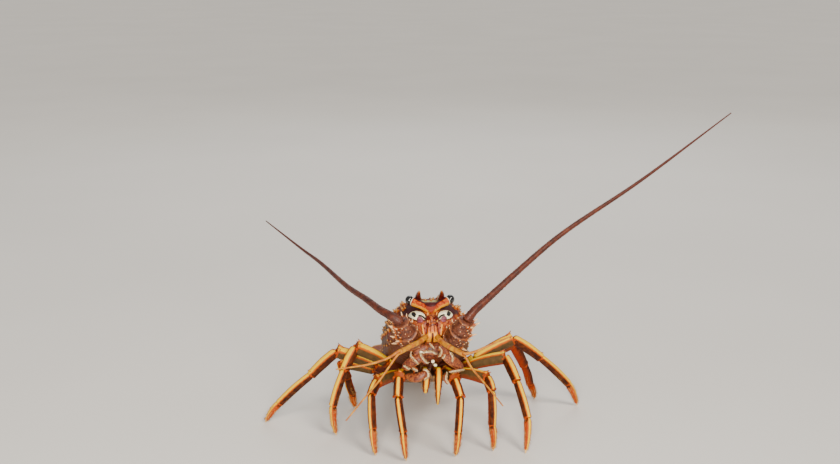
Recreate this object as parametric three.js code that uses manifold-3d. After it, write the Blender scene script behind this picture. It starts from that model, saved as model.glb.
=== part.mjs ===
// A spiny lobster at life size, as it stands on the sea floor: head raised, legs spread, the
// tail let down behind it and both long antennae held up and back. Millimetres, +Z up, the head
// towards -Y and the animal's left side towards +X. The feet and the tail fan stand on z = 0.
//
// Places on the body are given as (across, behind, above): across the midline, behind the front
// margin of the shell, and above the body's own axis, which is tipped nose up. Joints of the
// legs and feelers are given as (x, y, z) with the head above the origin.
import * as THREE from "three";
import { mergeVertices } from "three/addons/utils/BufferGeometryUtils.js";
import Module from "manifold-3d";

const wasm = await Module();
wasm.setup();

// Driving dimensions
const CARAPACE_LENGTH = 100;
const NOSE_UP = THREE.MathUtils.degToRad(30);
const FRONT_MARGIN = { forward: 7, height: 109.3 };
const GAP = 0.3;
const WHIP = { root: 3.9, stem: 2.9, tip: 0.55, swelling: 0.06 };
const SIDES = { l: 1, r: -1 };

const point = (x, y, z) => new THREE.Vector3(x, y, z);
const UP = point(0, 0, 1);
const DOWN = point(0, 0, -1);
const BODY = new THREE.Matrix4()
  .makeRotationX(-NOSE_UP)
  .setPosition(0, -FRONT_MARGIN.forward, FRONT_MARGIN.height);
const onBody = (across, behind, above) =>
  point(across, behind, above).applyMatrix4(BODY);
const bodyWay = (across, behind, above) =>
  point(across, behind, above).transformDirection(BODY);

// Seeded variation

let seed = 20;
// A number from 0 to 1, the same in every build.
function chance() {
  seed = (seed * 1664525 + 1013904223) % 4294967296;
  return seed / 4294967296;
}
const vary = (share) => 1 + share * (2 * chance() - 1);

// Curves

const spaced = (from, to, count) =>
  Array.from({ length: count }, (_, i) => from + ((to - from) * i) / (count - 1));

// Turns for a ring of points, the first at nought.
const turns = (count) => spaced(0, 2 * Math.PI * (1 - 1 / count), count);

// A smooth curve through rows of [place, value, value...], read at any place between them.
function profile(rows) {
  const places = rows.map((row) => row[0]);
  const values = rows.flatMap((row) => row.slice(1));
  const curve = new THREE.CubicInterpolant(places, values, rows[0].length - 1);
  return (place) =>
    Array.from(
      curve.evaluate(THREE.MathUtils.clamp(place, places[0], places.at(-1))),
    );
}

// Points spaced along a smooth curve through the given ones.
const smoothed = (points, count) =>
  new THREE.CatmullRomCurve3(points, false, "centripetal").getSpacedPoints(count);

// Solids

// The closed solid of a geometry, with its faces turned outwards.
function solidOf(geometry) {
  const bare = new THREE.BufferGeometry();
  bare.setAttribute("position", geometry.getAttribute("position"));
  bare.setIndex(geometry.getIndex());
  const merged = mergeVertices(bare, 1e-4);
  const vertProperties = new Float32Array(merged.attributes.position.array);
  const triVerts = new Uint32Array(merged.index.array);
  const made = new wasm.Manifold(
    new wasm.Mesh({ numProp: 3, vertProperties, triVerts }),
  );
  if (made.volume() > 0) return made;
  return new wasm.Manifold(
    new wasm.Mesh({ numProp: 3, vertProperties, triVerts: triVerts.reverse() }),
  );
}

const join = (...pieces) => pieces.flat().reduce((sum, piece) => sum.add(piece));

// Joins pieces into one solid and keeps its largest closed surface.
const fuse = (...pieces) =>
  join(...pieces)
    .decompose()
    .reduce((a, b) => (a.volume() > b.volume() ? a : b));

// A solid with the room of its neighbours taken out of it.
const clearOf = (solid, ...others) =>
  others.flat().reduce((left, other) => left.subtract(other), solid);

// A solid skinned over a row of rings with equal counts of points, both ends closed by fans.
function skin(rings) {
  const count = rings[0].length;
  const points = rings.flat();
  const index = [];
  for (let row = 0; row < rings.length - 1; row++) {
    for (let k = 0; k < count; k++) {
      const a = row * count + k;
      const b = row * count + ((k + 1) % count);
      index.push(a, b, a + count, b, b + count, a + count);
    }
  }
  const last = (rings.length - 1) * count;
  for (const [first, turned] of [[0, true], [last, false]]) {
    const ring = points.slice(first, first + count);
    const middle = ring
      .reduce((sum, p) => sum.add(p), point(0, 0, 0))
      .divideScalar(count);
    points.push(middle);
    for (let k = 0; k < count; k++) {
      const [a, b] = [first + k, first + ((k + 1) % count)];
      index.push(points.length - 1, ...(turned ? [b, a] : [a, b]));
    }
  }
  const geometry = new THREE.BufferGeometry().setFromPoints(points);
  return solidOf(geometry.setIndex(index));
}

// A skin over oval rings square to a path. Each stop is {at, wide, deep}: wide is the half width
// at right angles to the normal, deep the half width along it. A stop may say which way it faces.
function limb(stops, normal, sides = 8, grow = 0) {
  const rings = stops.map((stop, i) => {
    const before = stops[Math.max(i - 1, 0)].at;
    const after = stops[Math.min(i + 1, stops.length - 1)].at;
    const along = stop.along ?? after.clone().sub(before).normalize();
    const across = new THREE.Vector3().crossVectors(along, normal).normalize();
    const deep = new THREE.Vector3().crossVectors(across, along);
    const halfDeep = (stop.deep ?? stop.wide) + grow;
    const beyond = { 0: -grow, [stops.length - 1]: grow }[i] ?? 0;
    return turns(sides).map((turn) => {
      const half = turn + Math.PI / sides;
      return stop.at
        .clone()
        .addScaledVector(along, beyond)
        .addScaledVector(across, (stop.wide + grow) * Math.cos(half))
        .addScaledVector(deep, halfDeep * Math.sin(half));
    });
  });
  return skin(rings);
}

// Cuts a path of stops at the given places and leaves a flat gap square to the path at each cut.
function parted(stops, cuts) {
  const pieces = [];
  let piece = [stops[0]];
  for (let i = 1; i < stops.length; i++) {
    if (!cuts.includes(i)) {
      piece.push(stops[i]);
      continue;
    }
    const into = stops[i].at.clone().sub(stops[i - 1].at).normalize();
    const out = stops[i + 1].at.clone().sub(stops[i].at).normalize();
    const along = into.add(out).normalize();
    const shifted = (by) => stops[i].at.clone().addScaledVector(along, by);
    piece.push({ ...stops[i], at: shifted(-GAP / 2), along });
    pieces.push(piece);
    piece = [{ ...stops[i], ...stops[i].next, at: shifted(GAP / 2), along }];
  }
  return [...pieces, piece];
}

// A pointed cone on a surface, with its root sunk in by a share of its length.
function thorn(at, way, length, radius, sides = 5) {
  const sunk = 0.4 * length;
  const cone = new THREE.ConeGeometry(radius, length + sunk, sides);
  cone.translate(0, (length - sunk) / 2, 0);
  const turned = new THREE.Quaternion().setFromUnitVectors(point(0, 1, 0), way);
  return solidOf(cone.applyQuaternion(turned).translate(at.x, at.y, at.z));
}

// Scene graph

const lobster = new THREE.Group();
lobster.name = "spiny_lobster";
const groups = {};
for (const name of ["head", "antennae", "legs", "tail"]) {
  groups[name] = new THREE.Group();
  groups[name].name = name;
  lobster.add(groups[name]);
}

const finish = (color, roughness) =>
  new THREE.MeshStandardMaterial({ color, roughness, metalness: 0 });
const finishes = {
  shell: finish(0x7b3a26, 0.55),
  horn: finish(0x52231f, 0.45),
  face: finish(0xb8501f, 0.5),
  eye: finish(0x0d0b0c, 0.12),
  stalk: finish(0xc4622a, 0.5),
  antenna: finish(0x8a3a20, 0.5),
  whip: finish(0x6e241c, 0.55),
  feeler: finish(0xd07a2c, 0.5),
  leg: finish(0xa6431e, 0.45),
  mouth: finish(0x8a4a2c, 0.55),
  belly: finish(0xc08a55, 0.55),
  tail: finish(0x6b3626, 0.5),
  fan: finish(0x7d3d28, 0.5),
};

// Adds a solid to a group as a named mesh that hangs at its root.
function place(group, name, solid, root, material) {
  const mesh = solid.getMesh();
  const geometry = new THREE.BufferGeometry();
  const vertices = new Float32Array(mesh.vertProperties);
  geometry.setAttribute("position", new THREE.BufferAttribute(vertices, 3));
  geometry.setIndex(new THREE.BufferAttribute(new Uint32Array(mesh.triVerts), 1));
  geometry.translate(-root.x, -root.y, -root.z);
  geometry.computeVertexNormals();
  const piece = new THREE.Mesh(geometry, material);
  piece.name = name;
  piece.position.copy(root);
  groups[group].add(piece);
}

// Carapace

// Half width, height of the back and depth of the belly, from the front margin to the rear.
const shellAt = profile([
  [0, 22, 18, 20],
  [8, 27, 23, 23],
  [24, 33, 28, 25],
  [46, 36.5, 31, 26],
  [70, 38.5, 32, 26],
  [90, 37.5, 30.5, 25],
  [100, 34.5, 27, 22],
]);
const NECK = { behind: 47, sweep: 9, depth: 1.9, width: 3.4 };
const REAR_RIM = { behind: 94, depth: 1.2, width: 1.8 };

// A point of the carapace. turn runs from nought on the back to half a turn under the belly.
function shellPoint(behind, turn, grow = 0) {
  const [halfWidth, back, belly] = shellAt(behind);
  const [rise, reach] = [Math.cos(turn), Math.sin(turn)];
  const dip = (at, { depth, width }) =>
    depth * Math.exp(-(((behind - at) / width) ** 2));
  const sink =
    Math.sqrt(Math.max(rise, 0)) *
    (dip(NECK.behind - NECK.sweep * reach ** 2, NECK) + dip(REAR_RIM.behind, REAR_RIM));
  const above =
    rise > 0
      ? (back + grow - sink) * rise
      : -(belly + grow) * Math.abs(rise) ** 0.45;
  const across =
    (halfWidth + grow - 0.6 * sink) * Math.sign(reach) * Math.abs(reach) ** 0.8;
  return onBody(across, behind, above);
}

const shellSolid = (grow = 0) =>
  skin(
    spaced(-grow, CARAPACE_LENGTH + grow, 23).map((behind) =>
      turns(26).map((turn) => shellPoint(behind, turn, grow)),
    ),
  );
const roomOfShell = shellSolid(GAP);

// Rows of spines along the back and down the flanks, all leaning forwards.
function shellSpines() {
  const rows = [14, 32, 50, 68, 86];
  return rows.flatMap((row, r) =>
    Object.values(SIDES).flatMap((side) =>
      (r % 2 ? spaced(9, 86, 9) : spaced(20, 90, 8)).map((station) => {
        const behind = station * vary(0.04);
        const turn = side * THREE.MathUtils.degToRad(row * vary(0.06));
        const at = shellPoint(behind, turn);
        const out = at.clone().sub(onBody(0, behind, 0)).normalize();
        const way = out.multiplyScalar(0.8).add(bodyWay(0, -1, 0)).normalize();
        const length = THREE.MathUtils.lerp(6.5, 3, station / CARAPACE_LENGTH) * vary(0.2);
        return thorn(at, way, length, 0.3 * length + 0.6);
      }),
    ),
  );
}

place("head", "carapace", fuse(shellSolid(), shellSpines()), onBody(0, 0, 0), finishes.shell);

// Face: the block of plates between the eyes and the antennae

// Half width, top and bottom, by how far it is ahead of the carapace.
const faceAt = profile([
  [0, 21, 16.5, 19],
  [4, 21, 14.8, 18],
  [8, 20.5, 12, 16],
  [12, 18.5, 8.8, 14.5],
  [15, 12.5, 5.5, 13.5],
  [17, 7, 3, 12.5],
]);
const FACE_LENGTH = 17;

const faceSolid = (grow = 0) =>
  skin(
    spaced(GAP - grow, FACE_LENGTH + grow, 8).map((ahead) => {
      const [halfWidth, top, bottom] = faceAt(ahead);
      return turns(20).map((turn) => {
        const tall = Math.cos(turn) > 0 ? top : bottom;
        const wide = (halfWidth + grow) * Math.sin(turn);
        return onBody(wide, -ahead, (tall + grow) * Math.cos(turn));
      });
    }),
  );
const roomOfFace = faceSolid(GAP);
const wideRoomOfFace = faceSolid(2.5 * GAP);

// Antennae: three spiny joints at the base and a long whip, which is parted once on its way

const BASE_SIZES = [11.2, 10.9, 9.8, 7];
const BASE_JOINTS = [
  [13.5, -13, 98.1],
  [19, -27, 105.3],
  [22.8, -34, 113.9],
  [27, -38, 123.5],
];
const WHIP_PATHS = {
  l: [
    [32, -36, 129.5],
    [48, -24, 139.2],
    [69.2, -10, 152.6],
    [114.4, 20, 178.7],
    [195, 64, 216.1],
    [294.5, 118, 268.5],
  ],
  r: [
    [-31, -38, 126.5],
    [-36, -34, 128.5],
    [-42.8, -23, 129.4],
    [-53, 0, 130.9],
    [-68.2, 44, 128.6],
    [-94.1, 125, 128.9],
    [-112.7, 180, 127.5],
    [-153.3, 270, 135],
  ],
};
const WHIP_STEPS = 15;
const WHIP_CUT = 9;

// The stops of an antenna from its root to its tip.
function antennaStops(end) {
  const base = BASE_JOINTS.map(([x, y, z], i) => ({
    at: point(SIDES[end] * x, y, z),
    wide: BASE_SIZES[i],
    deep: 0.92 * BASE_SIZES[i],
    next: { wide: 0.93 * BASE_SIZES[i], deep: 0.86 * BASE_SIZES[i] },
  }));
  base[3].next = { wide: WHIP.root, deep: WHIP.root };
  const points = [base[3].at, ...WHIP_PATHS[end].map((at) => point(...at))];
  const course = new THREE.CatmullRomCurve3(points, false, "centripetal");
  const whip = spaced(0, 1, WHIP_STEPS + 1).map((step) => {
    const gone = step ** 1.5;
    const swollen = (WHIP.root - WHIP.stem) * Math.exp(-gone / WHIP.swelling);
    const wide = THREE.MathUtils.lerp(WHIP.stem, WHIP.tip, gone ** 1.1) + swollen;
    return { at: course.getPointAt(gone), wide, deep: wide };
  });
  return [...base, ...whip.slice(1)];
}

// Spines in a ring round the far end of a joint, the longest on its upper and outer side.
function baseSpines(stops, side, longest) {
  const [from, to] = [stops[0], stops.at(-1)];
  const along = to.at.clone().sub(from.at).normalize();
  const outward = bodyWay(side, 0, 0.35);
  const across = new THREE.Vector3().crossVectors(along, outward).normalize();
  const out = new THREE.Vector3().crossVectors(across, along).normalize();
  return spaced(-100, 100, 5).map((degrees) => {
    const turn = THREE.MathUtils.degToRad(degrees * vary(0.08));
    const radial = out
      .clone()
      .multiplyScalar(Math.cos(turn))
      .addScaledVector(across, Math.sin(turn));
    const at = from.at
      .clone()
      .lerp(to.at, 0.72)
      .addScaledVector(radial, 0.88 * to.wide);
    const way = radial.clone().multiplyScalar(0.9).add(along).normalize();
    const length = longest * (0.72 + 0.28 * Math.cos(turn)) * vary(0.15);
    return thorn(at, way, length, 0.26 * length + 0.5);
  });
}

const BASE_COUNT = 3;
const antennaPieces = {};
for (const end of Object.keys(SIDES)) {
  antennaPieces[end] = parted(antennaStops(end), [1, 2, BASE_COUNT, BASE_COUNT + WHIP_CUT]);
}
const roomOfBases = Object.values(antennaPieces).flatMap((pieces) =>
  pieces.slice(0, BASE_COUNT).map((stops) => limb(stops, UP, 12, 1.6 * GAP)),
);

for (const [end, pieces] of Object.entries(antennaPieces)) {
  pieces.forEach((stops, i) => {
    if (i >= BASE_COUNT) {
      const name = `antenna_${end}_whip_${i - BASE_COUNT + 1}`;
      place("antennae", name, limb(stops, UP, 8), stops[0].at, finishes.whip);
      return;
    }
    const spines = baseSpines(stops, SIDES[end], 9 - 1.2 * i);
    const neighbours = pieces
      .slice(0, BASE_COUNT)
      .filter((_, j) => j !== i)
      .map((other) => limb(other, UP, 12, 0.5 * GAP));
    const spined = join(limb(stops, UP, 12), clearOf(join(spines), neighbours, wideRoomOfFace));
    const name = `antenna_${end}_base_${i + 1}`;
    place("antennae", name, fuse(clearOf(spined, roomOfShell)), stops[0].at, finishes.antenna);
  });
}

// Two pairs of spines down the middle of the face.
const faceSpines = () =>
  Object.values(SIDES).flatMap((side) => [
    thorn(onBody(side * 3.6, -15.2, 2.9), bodyWay(0, -1, 0.5), 6, 1.7),
    thorn(onBody(side * 3.8, -16.6, -2.4), bodyWay(0, -1, 0.4), 4.5, 1.5),
  ]);

place(
  "head",
  "face",
  fuse(clearOf(fuse(faceSolid(), faceSpines()), roomOfBases)),
  onBody(0, -GAP, 0),
  finishes.face,
);

// Horns over the eyes

const HORN_PATH = [
  { place: [10.5, 16, 15], wide: 4.4, deep: 8 },
  { place: [10, 6, 19.5], wide: 4.2, deep: 6.4 },
  { place: [10, -2, 22.6], wide: 3.6, deep: 4.6 },
  { place: [10, -8, 24.8], wide: 2.7, deep: 3.2 },
  { place: [9.6, -13.5, 26], wide: 1.7, deep: 1.8 },
  { place: [9.1, -17.5, 26], wide: 0.4, deep: 0.4 },
];
const hornSolid = (side, grow = 0) =>
  limb(
    HORN_PATH.map(({ place: [across, behind, above], wide, deep }) => ({
      at: onBody(side * across, behind, above),
      wide,
      deep,
    })),
    bodyWay(0, 0, 1),
    10,
    grow,
  );

for (const [end, side] of Object.entries(SIDES)) {
  const solid = fuse(clearOf(hornSolid(side), roomOfShell, roomOfFace));
  place("head", "horn_" + end, solid, onBody(side * 10, 2, 20), finishes.horn);
}

// Eyes: a dark ball on the end of each stalk, cut flat where it meets the stalk

const EYE = { place: [17.4, -4.3, 21.4], radius: 3.9, cut: 0.45 };
const STALK_ROOT = [3.8, -7, 14.6];

for (const [end, side] of Object.entries(SIDES)) {
  const mirrored = ([across, behind, above]) => onBody(side * across, behind, above);
  const [eyeAt, root] = [mirrored(EYE.place), mirrored(STALK_ROOT)];
  const along = eyeAt.clone().sub(root).normalize();
  const upright = new THREE.Quaternion().setFromUnitVectors(point(0, 1, 0), along);
  const stalkEnd = eyeAt.clone().addScaledVector(along, -EYE.cut * EYE.radius);
  const between = (share) => root.clone().lerp(stalkEnd, share);
  const stalk = limb(
    [
      { at: root, wide: 3.1 },
      { at: between(0.45), wide: 3.2 },
      { at: between(0.8), wide: 3.8 },
      { at: stalkEnd, wide: 3.7, along },
    ],
    bodyWay(0, 1, 0),
    10,
  );
  const ball = new THREE.SphereGeometry(EYE.radius, 14, 10);
  ball.applyQuaternion(upright).translate(eyeAt.x, eyeAt.y, eyeAt.z);
  const stub = new THREE.CylinderGeometry(9, 9, 12, 24);
  stub.translate(0, GAP - 6 - EYE.cut * EYE.radius, 0);
  stub.applyQuaternion(upright).translate(eyeAt.x, eyeAt.y, eyeAt.z);
  const roomOfHorn = hornSolid(side, GAP);
  const held = clearOf(stalk, roomOfShell, roomOfFace, roomOfHorn);
  const cornea = clearOf(solidOf(ball), solidOf(stub), roomOfHorn);
  place("head", "eye_stalk_" + end, fuse(held), root, finishes.stalk);
  place("head", "eye_" + end, fuse(cornea), eyeAt, finishes.eye);
}

// Antennules: a jointed stalk that forks into an outer and an inner feeler

const ANTENNULES = {
  l: {
    stalk: [[2.9, -22.5, 106.4], [6, -37, 106.1], [11.8, -48, 104.9], [21.4, -59, 102.8]],
    outer: [[30.2, -62, 105.2], [42.9, -63, 111.1], [61.4, -58, 116.4]],
    inner: [[27.8, -68, 93.9], [38.3, -82, 83.9], [49, -97, 73.1]],
  },
  r: {
    stalk: [[-3.1, -22.5, 106.4], [-10.8, -37, 106.5], [-19.4, -48, 106.5], [-29, -59, 105.8]],
    outer: [[-37.2, -62, 102.9], [-51.6, -63, 98.2], [-80.3, -60, 92.9]],
    inner: [[-45.6, -70, 87.1], [-55.6, -82, 80.3], [-73.3, -98, 65.4]],
  },
};
const FEELER = { stalk: 2.3, outer: 1.25, inner: 1, tip: 0.5, apart: 1.45 };

for (const [end, { stalk, outer, inner }] of Object.entries(ANTENNULES)) {
  const path = smoothed(stalk.map((at) => point(...at)), 5);
  const fork = path.at(-1);
  const along = fork.clone().sub(path.at(-2)).normalize();
  const stops = path.map((at, i) => ({
    at,
    wide: FEELER.stalk * (i % 2 ? 0.94 : 1.04),
    along: i === path.length - 1 ? along : undefined,
  }));
  const lifted = UP.clone().addScaledVector(along, -along.z).normalize();
  const solid = clearOf(limb(stops, UP, 8), roomOfFace, roomOfShell, roomOfBases);
  place("antennae", `antennule_${end}_stalk`, fuse(solid), path[0], finishes.feeler);
  for (const [branch, points, lift] of [["outer", outer, 1], ["inner", inner, -1]]) {
    const start = fork
      .clone()
      .addScaledVector(along, GAP)
      .addScaledVector(lifted, lift * FEELER.apart);
    const near = start.clone().addScaledVector(along, 3);
    const course = smoothed([start, near, ...points.map((at) => point(...at))], 8);
    const feeler = limb(
      course.map((at, i) => ({
        at,
        wide: THREE.MathUtils.lerp(FEELER[branch], FEELER.tip, i / 8),
        along: i === 0 ? along : undefined,
      })),
      UP,
      6,
    );
    place("antennae", `antennule_${end}_${branch}`, feeler, start, finishes.feeler);
  }
}

// Mouth, mouth legs and breastplate

// How far behind the front margin, half width and depth of the mouth.
const MOUTH_RINGS = [
  [-11, 8, 27],
  [-6, 11.5, 31],
  [6, 13, 33],
  [20, 12, 34],
  [32, 10, 34],
];
const MOUTH_MIDDLE = 20;
const mouthSolid = (grow = 0) =>
  skin(
    MOUTH_RINGS.map(([behind, halfWidth, depth], i) => {
      const lengthened = { 0: -grow, [MOUTH_RINGS.length - 1]: grow }[i] ?? 0;
      return turns(14).map((turn) => {
        const tall = Math.cos(turn) > 0 ? 6 : depth - MOUTH_MIDDLE;
        const above = (tall + grow) * Math.cos(turn) - MOUTH_MIDDLE;
        return onBody((halfWidth + grow) * Math.sin(turn), behind + lengthened, above);
      });
    }),
  );
place(
  "head",
  "mouth",
  fuse(clearOf(mouthSolid(), roomOfShell, roomOfFace, roomOfBases)),
  onBody(0, 0, -28),
  finishes.mouth,
);
const roomOfMouth = mouthSolid(GAP);

const BREASTPLATE = { front: 32 + GAP, rear: 98.5, top: -20, edge: -30, bottom: -35 };
const breastplate = (grow = 0) =>
  skin(
    spaced(BREASTPLATE.front - grow, BREASTPLATE.rear + grow, 8).map((behind) => {
      const half = 10 + 0.29 * (behind - BREASTPLATE.front) + grow;
      const corners = [
        [1, BREASTPLATE.top],
        [1.04, BREASTPLATE.edge],
        [0.8, BREASTPLATE.bottom - grow],
        [0.25, BREASTPLATE.bottom + 1 - grow],
      ];
      const edge = (side) =>
        corners.map(([share, above]) => onBody(side * share * half, behind, above));
      return [...edge(1), ...edge(-1).reverse()];
    }),
  );
place(
  "head",
  "breastplate",
  fuse(clearOf(breastplate(), roomOfShell)),
  onBody(0, BREASTPLATE.front, -28),
  finishes.belly,
);
const roomOfBreastplate = breastplate(GAP);

const MOUTH_LEGS = {
  l: [[4.4, -3, 66], [5.2, -18, 69], [4.6, -33, 76], [3.9, -36.5, 63], [3.9, -34, 49]],
  r: [[-4.4, -3, 66], [-5.2, -18, 69], [-5.4, -32, 74.5], [-6.4, -34, 63], [-6, -24, 57.5]],
};
const MOUTH_LEG_SIZES = [4.6, 4.8, 4.3, 3.4, 1.1];

for (const [end, joints] of Object.entries(MOUTH_LEGS)) {
  const stops = joints.map((at, i) => ({
    at: point(...at),
    wide: MOUTH_LEG_SIZES[i],
    deep: 0.85 * MOUTH_LEG_SIZES[i],
  }));
  const solid = clearOf(limb(stops, point(1, 0, 0), 8), roomOfMouth, roomOfBreastplate);
  place("head", "mouth_leg_" + end, fuse(solid), stops[0].at, finishes.leg);
}

// Legs

// Where each pair of legs leaves the breastplate, from the first pair to the last.
const HIPS = [[10.5, 38], [14, 50], [17.5, 62], [21, 74], [24.5, 86]];
// Knee, wrist, ankle and foot of each leg.
const LEGS = {
  l: [
    [[18.3, -30, 68.5], [22.3, -40, 57.3], [21, -38, 25.8], [19.3, -32.6, 0]],
    [[48.6, -10, 60.8], [51.3, -19, 53], [51.7, -24, 23.8], [52.7, -24.8, 0]],
    [[69, 20, 67.9], [76.1, 0, 53.3], [82.9, -20, 27.4], [79.5, -32, 0]],
    [[79.5, 45, 76.3], [106.5, 52, 54.6], [135.1, 60, 24.8], [145.7, 65.2, 0]],
    [[82.4, 66, 64.2], [95.6, 74, 38.9], [102.9, 80, 17.1], [108.5, 83.6, 0]],
  ],
  r: [
    [[-28.2, -30, 71.8], [-29.7, -40, 59.1], [-25.7, -40, 28.4], [-22.9, -38, 0]],
    [[-45.9, -10, 60.6], [-50.9, -18, 53.2], [-50.3, -23, 24.3], [-48, -26.2, 0]],
    [[-63, 22, 80.4], [-73, 17, 62.1], [-83.9, 15, 29.5], [-81.4, 16.7, 0]],
    [[-79.9, 37, 71.5], [-102.7, 43, 48], [-132.4, 48, 19.3], [-145.8, 49.4, 0]],
    [[-76.1, 66, 50.2], [-70.3, 72, 32.4], [-65.9, 76, 14.1], [-62.8, 76.3, 0]],
  ],
};

// The stops of a leg: height first and thickness second at each.
function legStops(hip, joints) {
  const [knee, wrist, ankle, foot] = joints.map((at) => point(...at));
  const stop = (at, wide, deep, more) => ({ at, wide, deep, ...more });
  const sagged = hip.clone().lerp(knee, 0.24).addScaledVector(DOWN, 2);
  return [
    stop(hip, 6.4, 4.8),
    stop(sagged, 6, 4.7),
    stop(hip.clone().lerp(knee, 0.4), 5, 4.2),
    stop(hip.clone().lerp(knee, 0.75), 5.7, 4.4),
    stop(knee, 5.8, 4.7, { next: { wide: 4.7, deep: 4.1 } }),
    stop(knee.clone().lerp(wrist, 0.45), 4.9, 4.2),
    stop(wrist, 4.7, 4.1),
    stop(wrist.clone().lerp(ankle, 0.16), 3.8, 3.4),
    stop(wrist.clone().lerp(ankle, 0.6), 3.9, 3.4),
    stop(ankle, 3.7, 3.3),
    stop(ankle.clone().lerp(foot, 0.55), 2.9, 2.6),
    stop(foot, 1.4, 1.4, { along: DOWN }),
  ];
}
const KNEE = 4;

for (const [end, legs] of Object.entries(LEGS)) {
  let roomOfLast = [];
  legs.forEach((joints, i) => {
    const [across, behind] = HIPS[i];
    const hip = onBody(SIDES[end] * across, behind, -30);
    const foot = point(...joints[3]);
    const plane = foot.clone().sub(hip).cross(UP).normalize();
    const [upper, lower] = parted(legStops(hip, joints), [KNEE]);
    const knee = upper.at(-1);
    const rise = new THREE.Vector3().crossVectors(knee.along, plane).normalize();
    if (rise.z < 0) rise.negate();
    const spineAt = upper[3].at.clone().addScaledVector(rise, 0.8 * knee.wide);
    const spineWay = knee.at.clone().sub(upper[3].at).normalize();
    const spine = thorn(spineAt, spineWay.addScaledVector(rise, 0.6).normalize(), 5, 1.5);
    const top = clearOf(
      fuse(limb(upper, plane), spine),
      roomOfShell,
      roomOfBreastplate,
      roomOfMouth,
      roomOfLast,
    );
    roomOfLast = [limb(upper, plane, 8, GAP)];
    const name = `leg_${end}${i + 1}`;
    place("legs", name + "_upper", fuse(top), hip, finishes.leg);
    place("legs", name + "_lower", limb(lower, plane), lower[0].at, finishes.leg);
  });
}

// Tail: six rings that step down to a fan on the floor

const TAIL_SLOPES = [30, 27, 22, 16, 11, 8];
const RING_LENGTH = 21.5;
const tailAt = profile([
  [0, 31, 24, 20],
  [2, 29.5, 22.5, 18],
  [4, 25.5, 18, 13],
  [6, 21, 12.5, 9],
]);
const tailJoints = [onBody(0, CARAPACE_LENGTH + GAP, -2)];
for (const slope of TAIL_SLOPES) {
  const down = THREE.MathUtils.degToRad(slope);
  const step = point(0, Math.cos(down), -Math.sin(down)).multiplyScalar(RING_LENGTH);
  tailJoints.push(tailJoints.at(-1).clone().add(step));
}
// The way the tail runs at each joint between rings.
const tailWays = tailJoints.map((at, i) => {
  const before = tailJoints[Math.max(i - 1, 0)];
  const after = tailJoints[Math.min(i + 1, tailJoints.length - 1)];
  return i === 0 ? bodyWay(0, 1, 0) : after.clone().sub(before).normalize();
});

// A place on a ring: share of the way along it, then across and above in shares of its size.
function ringPoint(ring, share, across, above, grow = 0) {
  const [halfWidth, back, belly] = tailAt(ring + share);
  const way = tailWays[ring].clone().lerp(tailWays[ring + 1], share).normalize();
  const up = new THREE.Vector3().crossVectors(point(1, 0, 0), way);
  const inset = GAP / 2 - grow;
  const at = tailJoints[ring].clone().lerp(tailJoints[ring + 1], share);
  at.addScaledVector(way, { 0: inset, 1: -inset }[share] ?? 0);
  at.x += (halfWidth + grow) * across;
  return at.addScaledVector(up, ((above > 0 ? back : belly) + grow) * above);
}

// How wide a ring is along its length, in shares of the tail's width there.
const RING_SHAPE = [[0, 0.93], [0.2, 0.97], [0.4, 0.94], [0.55, 1], [1, 1.01]];
const ringSolid = (ring, grow = 0) =>
  skin(
    RING_SHAPE.map(([share, size]) =>
      turns(18).map((turn) => {
        const rise = Math.cos(turn);
        const above = rise > 0 ? rise : -(Math.abs(rise) ** 0.5);
        return ringPoint(ring, share, size * Math.sin(turn), size * above, grow);
      }),
    ),
  );

// The pointed plate that hangs at each side of a ring, and the paddle under rings 2 to 5.
function ringSides(ring, side) {
  const stop = (share, across, above, wide, deep) => ({
    at: ringPoint(ring, share, side * across, above),
    wide,
    deep,
    along: DOWN,
  });
  const plate = limb(
    [
      stop(0.45, 0.84, -0.3, 6.5, 2),
      stop(0.5, 0.95, -0.8, 5.6, 1.6),
      stop(0.6, 0.98, -1.15, 2.8, 1),
      stop(0.68, 0.99, -1.38, 0.4, 0.4),
    ],
    point(1, 0, 0),
    6,
  );
  if (ring === 0) return [plate];
  const paddle = limb(
    [
      stop(0.35, 0.5, -0.8, 3, 1),
      stop(0.4, 0.55, -1.06, 5.5, 0.9),
      stop(0.5, 0.58, -1.22, 4.5, 0.8),
      stop(0.6, 0.6, -1.36, 1.5, 0.5),
    ],
    point(0, 1, 0),
    6,
  );
  return [plate, paddle];
}

const LAST_RING = TAIL_SLOPES.length - 1;
for (let ring = 0; ring <= LAST_RING; ring++) {
  const sides = Object.values(SIDES).flatMap((side) => ringSides(ring, side));
  const solid = fuse(ringSolid(ring), ring < LAST_RING ? sides : []);
  place("tail", `tail_ring_${ring + 1}`, solid, tailJoints[ring], finishes.tail);
}

// Tail fan: a middle blade and two pairs beside it, their rear edges flat on the floor

// How far along a blade each stop is, how high in shares of its root, and how thick.
const BLADE_SHAPE = [
  [0, 1, 2.6],
  [0.28, 0.52, 1.7],
  [0.58, 0.15, 1.15],
  [0.84, 0, 1],
  [0.95, 0, 0.95],
  [1, 0, 0.9],
];
const BLADE_SIDES = 12;
const BLADE_FLAT = Math.sin(Math.PI / 2 - Math.PI / BLADE_SIDES);

// A blade from its root along a heading in degrees to the floor, with its half widths.
function blade({ root, heading, reach, widths, thickness }, grow = 0) {
  const turned = THREE.MathUtils.degToRad(heading);
  const way = point(Math.sin(turned), Math.cos(turned), 0);
  const stops = BLADE_SHAPE.map(([share, height, thick], i) => {
    const deep = thickness * thick;
    const at = root.clone().addScaledVector(way, reach * share);
    at.z = deep + root.z * height;
    return { at, wide: widths[i], deep: deep / BLADE_FLAT, along: i > 2 ? way : undefined };
  });
  return limb(stops, UP, BLADE_SIDES, grow);
}

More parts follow.
